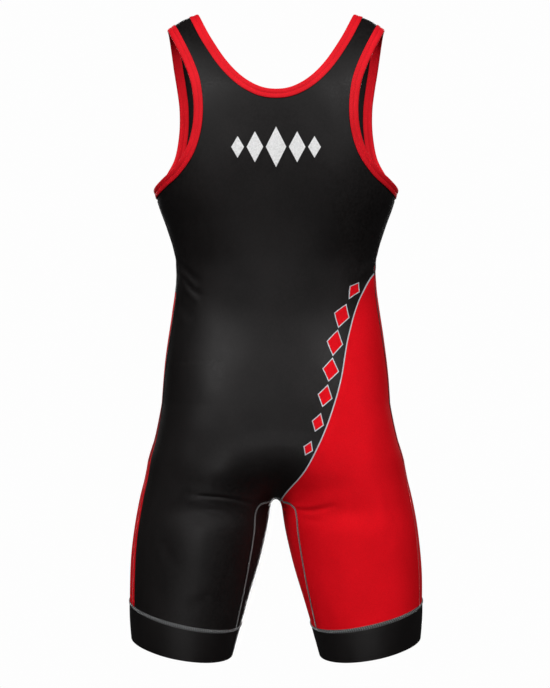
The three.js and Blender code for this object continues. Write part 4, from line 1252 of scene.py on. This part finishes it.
for name, tracks in (("neck", neck_tracks), ("armhole_left", arm_l_tracks), ("armhole_right", arm_r_tracks)):
    vs, fs, c = [], [], 0
    for q, qn in tracks:
        v, f = stitches(q, qn, True, 2.3, 1.0, 0.15, lift=0.04)
        vs.append(v)
        fs.append(f + c)
        c += len(v)
    threads.append(make_object(f"coverstitch_{name}", np.concatenate(vs), np.concatenate(fs), [RED_THREAD]))

# ---------- the table of pieces ----------
for obj, node, slot in ((back_obj, "back_panel", "knit_black"), (front_obj, "front_panel", "knit_black"),
                        (neck_obj, "neck_binding", "binding_red"), (arm_l, "armhole_binding_left", "binding_red"),
                        (arm_r, "armhole_binding_right", "binding_red"), (cuff_l, "leg_cuff_left", "knit_black"),
                        (cuff_r, "leg_cuff_right", "knit_black")):
    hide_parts(node)
    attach(obj, "root")
for obj in (back_inner, front_inner):
    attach(obj, "root")
for obj in threads:
    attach(obj, "root")

# ---------- floor, light, camera ----------
def floor():
    n, r = 96, 2100.0
    rad = np.array([0.0, 0.35, 0.7, 1.0]) * r
    a = np.linspace(0, 2 * np.pi, n, endpoint=False)
    v = np.stack([rad[:, None] * np.cos(a), rad[:, None] * np.sin(a), np.full((4, n), -1330.0)], -1).reshape(-1, 3)
    f = grid_faces(4, n, close_c=True)
    g = Graph("floor_pale")
    d = g.math("MULTIPLY", g.node("ShaderNodeVectorMath", operation="LENGTH").outputs["Value"], 1.0)
    length = d.node.inputs[0].links[0].from_node
    g.put(length.inputs[0], g.scaled(g.coords(), (1, 1, 0)))
    grain = g.noise(g.coords(), 30, 3)
    finish_cloth(g, g.mix(g.span(grain, 0.3, 0.7, 0, 1), (0.82, 0.82, 0.82), (0.84, 0.84, 0.84)), 0.8, 0.2)
    g.put(g.bsdf.inputs["Alpha"], g.math("SUBTRACT", 1.0, g.ramp(d, 0.9, 2.0)))
    obj = make_object("stage_floor", v[n * 0:], orient(v, f, np.broadcast_to((0.0, 0.0, 1.0), v.shape)), [g.mat])
    obj.visible_diffuse = False
    obj.visible_glossy = False


floor()

scene = bpy.context.scene
world = bpy.data.worlds.new("studio")
scene.world = world
world.use_nodes = True
wt = world.node_tree
bg = next(n for n in wt.nodes if n.type == "BACKGROUND")
seen = wt.nodes.new("ShaderNodeBackground")
seen.inputs["Color"].default_value = (0.985, 0.985, 0.985, 1)
seen.inputs["Strength"].default_value = 1.0
bg.inputs["Color"].default_value = (1, 1, 1, 1)
bg.inputs["Strength"].default_value = 0.035
path = wt.nodes.new("ShaderNodeLightPath")
mixer = wt.nodes.new("ShaderNodeMixShader")
out = next(n for n in wt.nodes if n.type == "OUTPUT_WORLD")
wt.links.new(path.outputs["Is Camera Ray"], mixer.inputs[0])
wt.links.new(bg.outputs[0], mixer.inputs[1])
wt.links.new(seen.outputs[0], mixer.inputs[2])
wt.links.new(mixer.outputs[0], out.inputs[0])


def area(name, loc, target, size, power):
    """A soft light; power in watts."""
    data = bpy.data.lights.new(name, "AREA")
    data.shape = "RECTANGLE"
    data.size, data.size_y = size
    data.energy = power
    obj = bpy.data.objects.new(name, data)
    scene.collection.objects.link(obj)
    from mathutils import Vector
    obj.location = loc
    obj.rotation_euler = (Vector(target) - Vector(loc)).to_track_quat("-Z", "Y").to_euler()
    return obj


MIDST = (0, 0, -0.44)
# two soft boxes behind the garment, well above it, two lower ones before it, and a narrow low one for the legs each way
KEYS = [
    # name, x, y, z, width, height, watts, target height, spread in degrees
    ("key_back_left", 1.65, 2.2, 1.62, 1.0, 1.1, 88, -0.44, 180), ("key_back_right", -1.65, 2.2, 1.62, 1.0, 1.1, 80, -0.44, 180),
    ("key_front_left", 0.95, -2.6, 0.55, 1.0, 1.1, 46, -0.44, 180), ("key_front_right", -0.95, -2.6, 0.55, 1.0, 1.1, 42, -0.44, 180),
    ("legs_back", 0.15, 2.7, -1.15, 0.9, 0.4, 1.15, -0.80, 30), ("legs_front", -0.15, -2.7, -1.15, 0.9, 0.4, 1.15, -0.80, 30),
]
for name, x, y, z, w, h, watts, aim, spread in KEYS:
    lamp = area(name, (x, y, z), (0, 0, aim), (w, h), watts)
    lamp.data.spread = math.radians(spread)

cam_data = bpy.data.cameras.new("camera")
cam_data.sensor_fit = "HORIZONTAL"
cam_data.sensor_width = 36.0
cam_data.lens = 1956.5 / 550 * 36.0
cam_data.clip_end = 50
cam = bpy.data.objects.new("camera", cam_data)
cam.location = (0.00138, 2.7, -0.4394)
cam.rotation_euler = (math.pi / 2, 0, math.pi)
scene.collection.objects.link(cam)
scene.camera = cam
scene.view_settings.view_transform = "Standard"

bpy.context.view_layer.update()
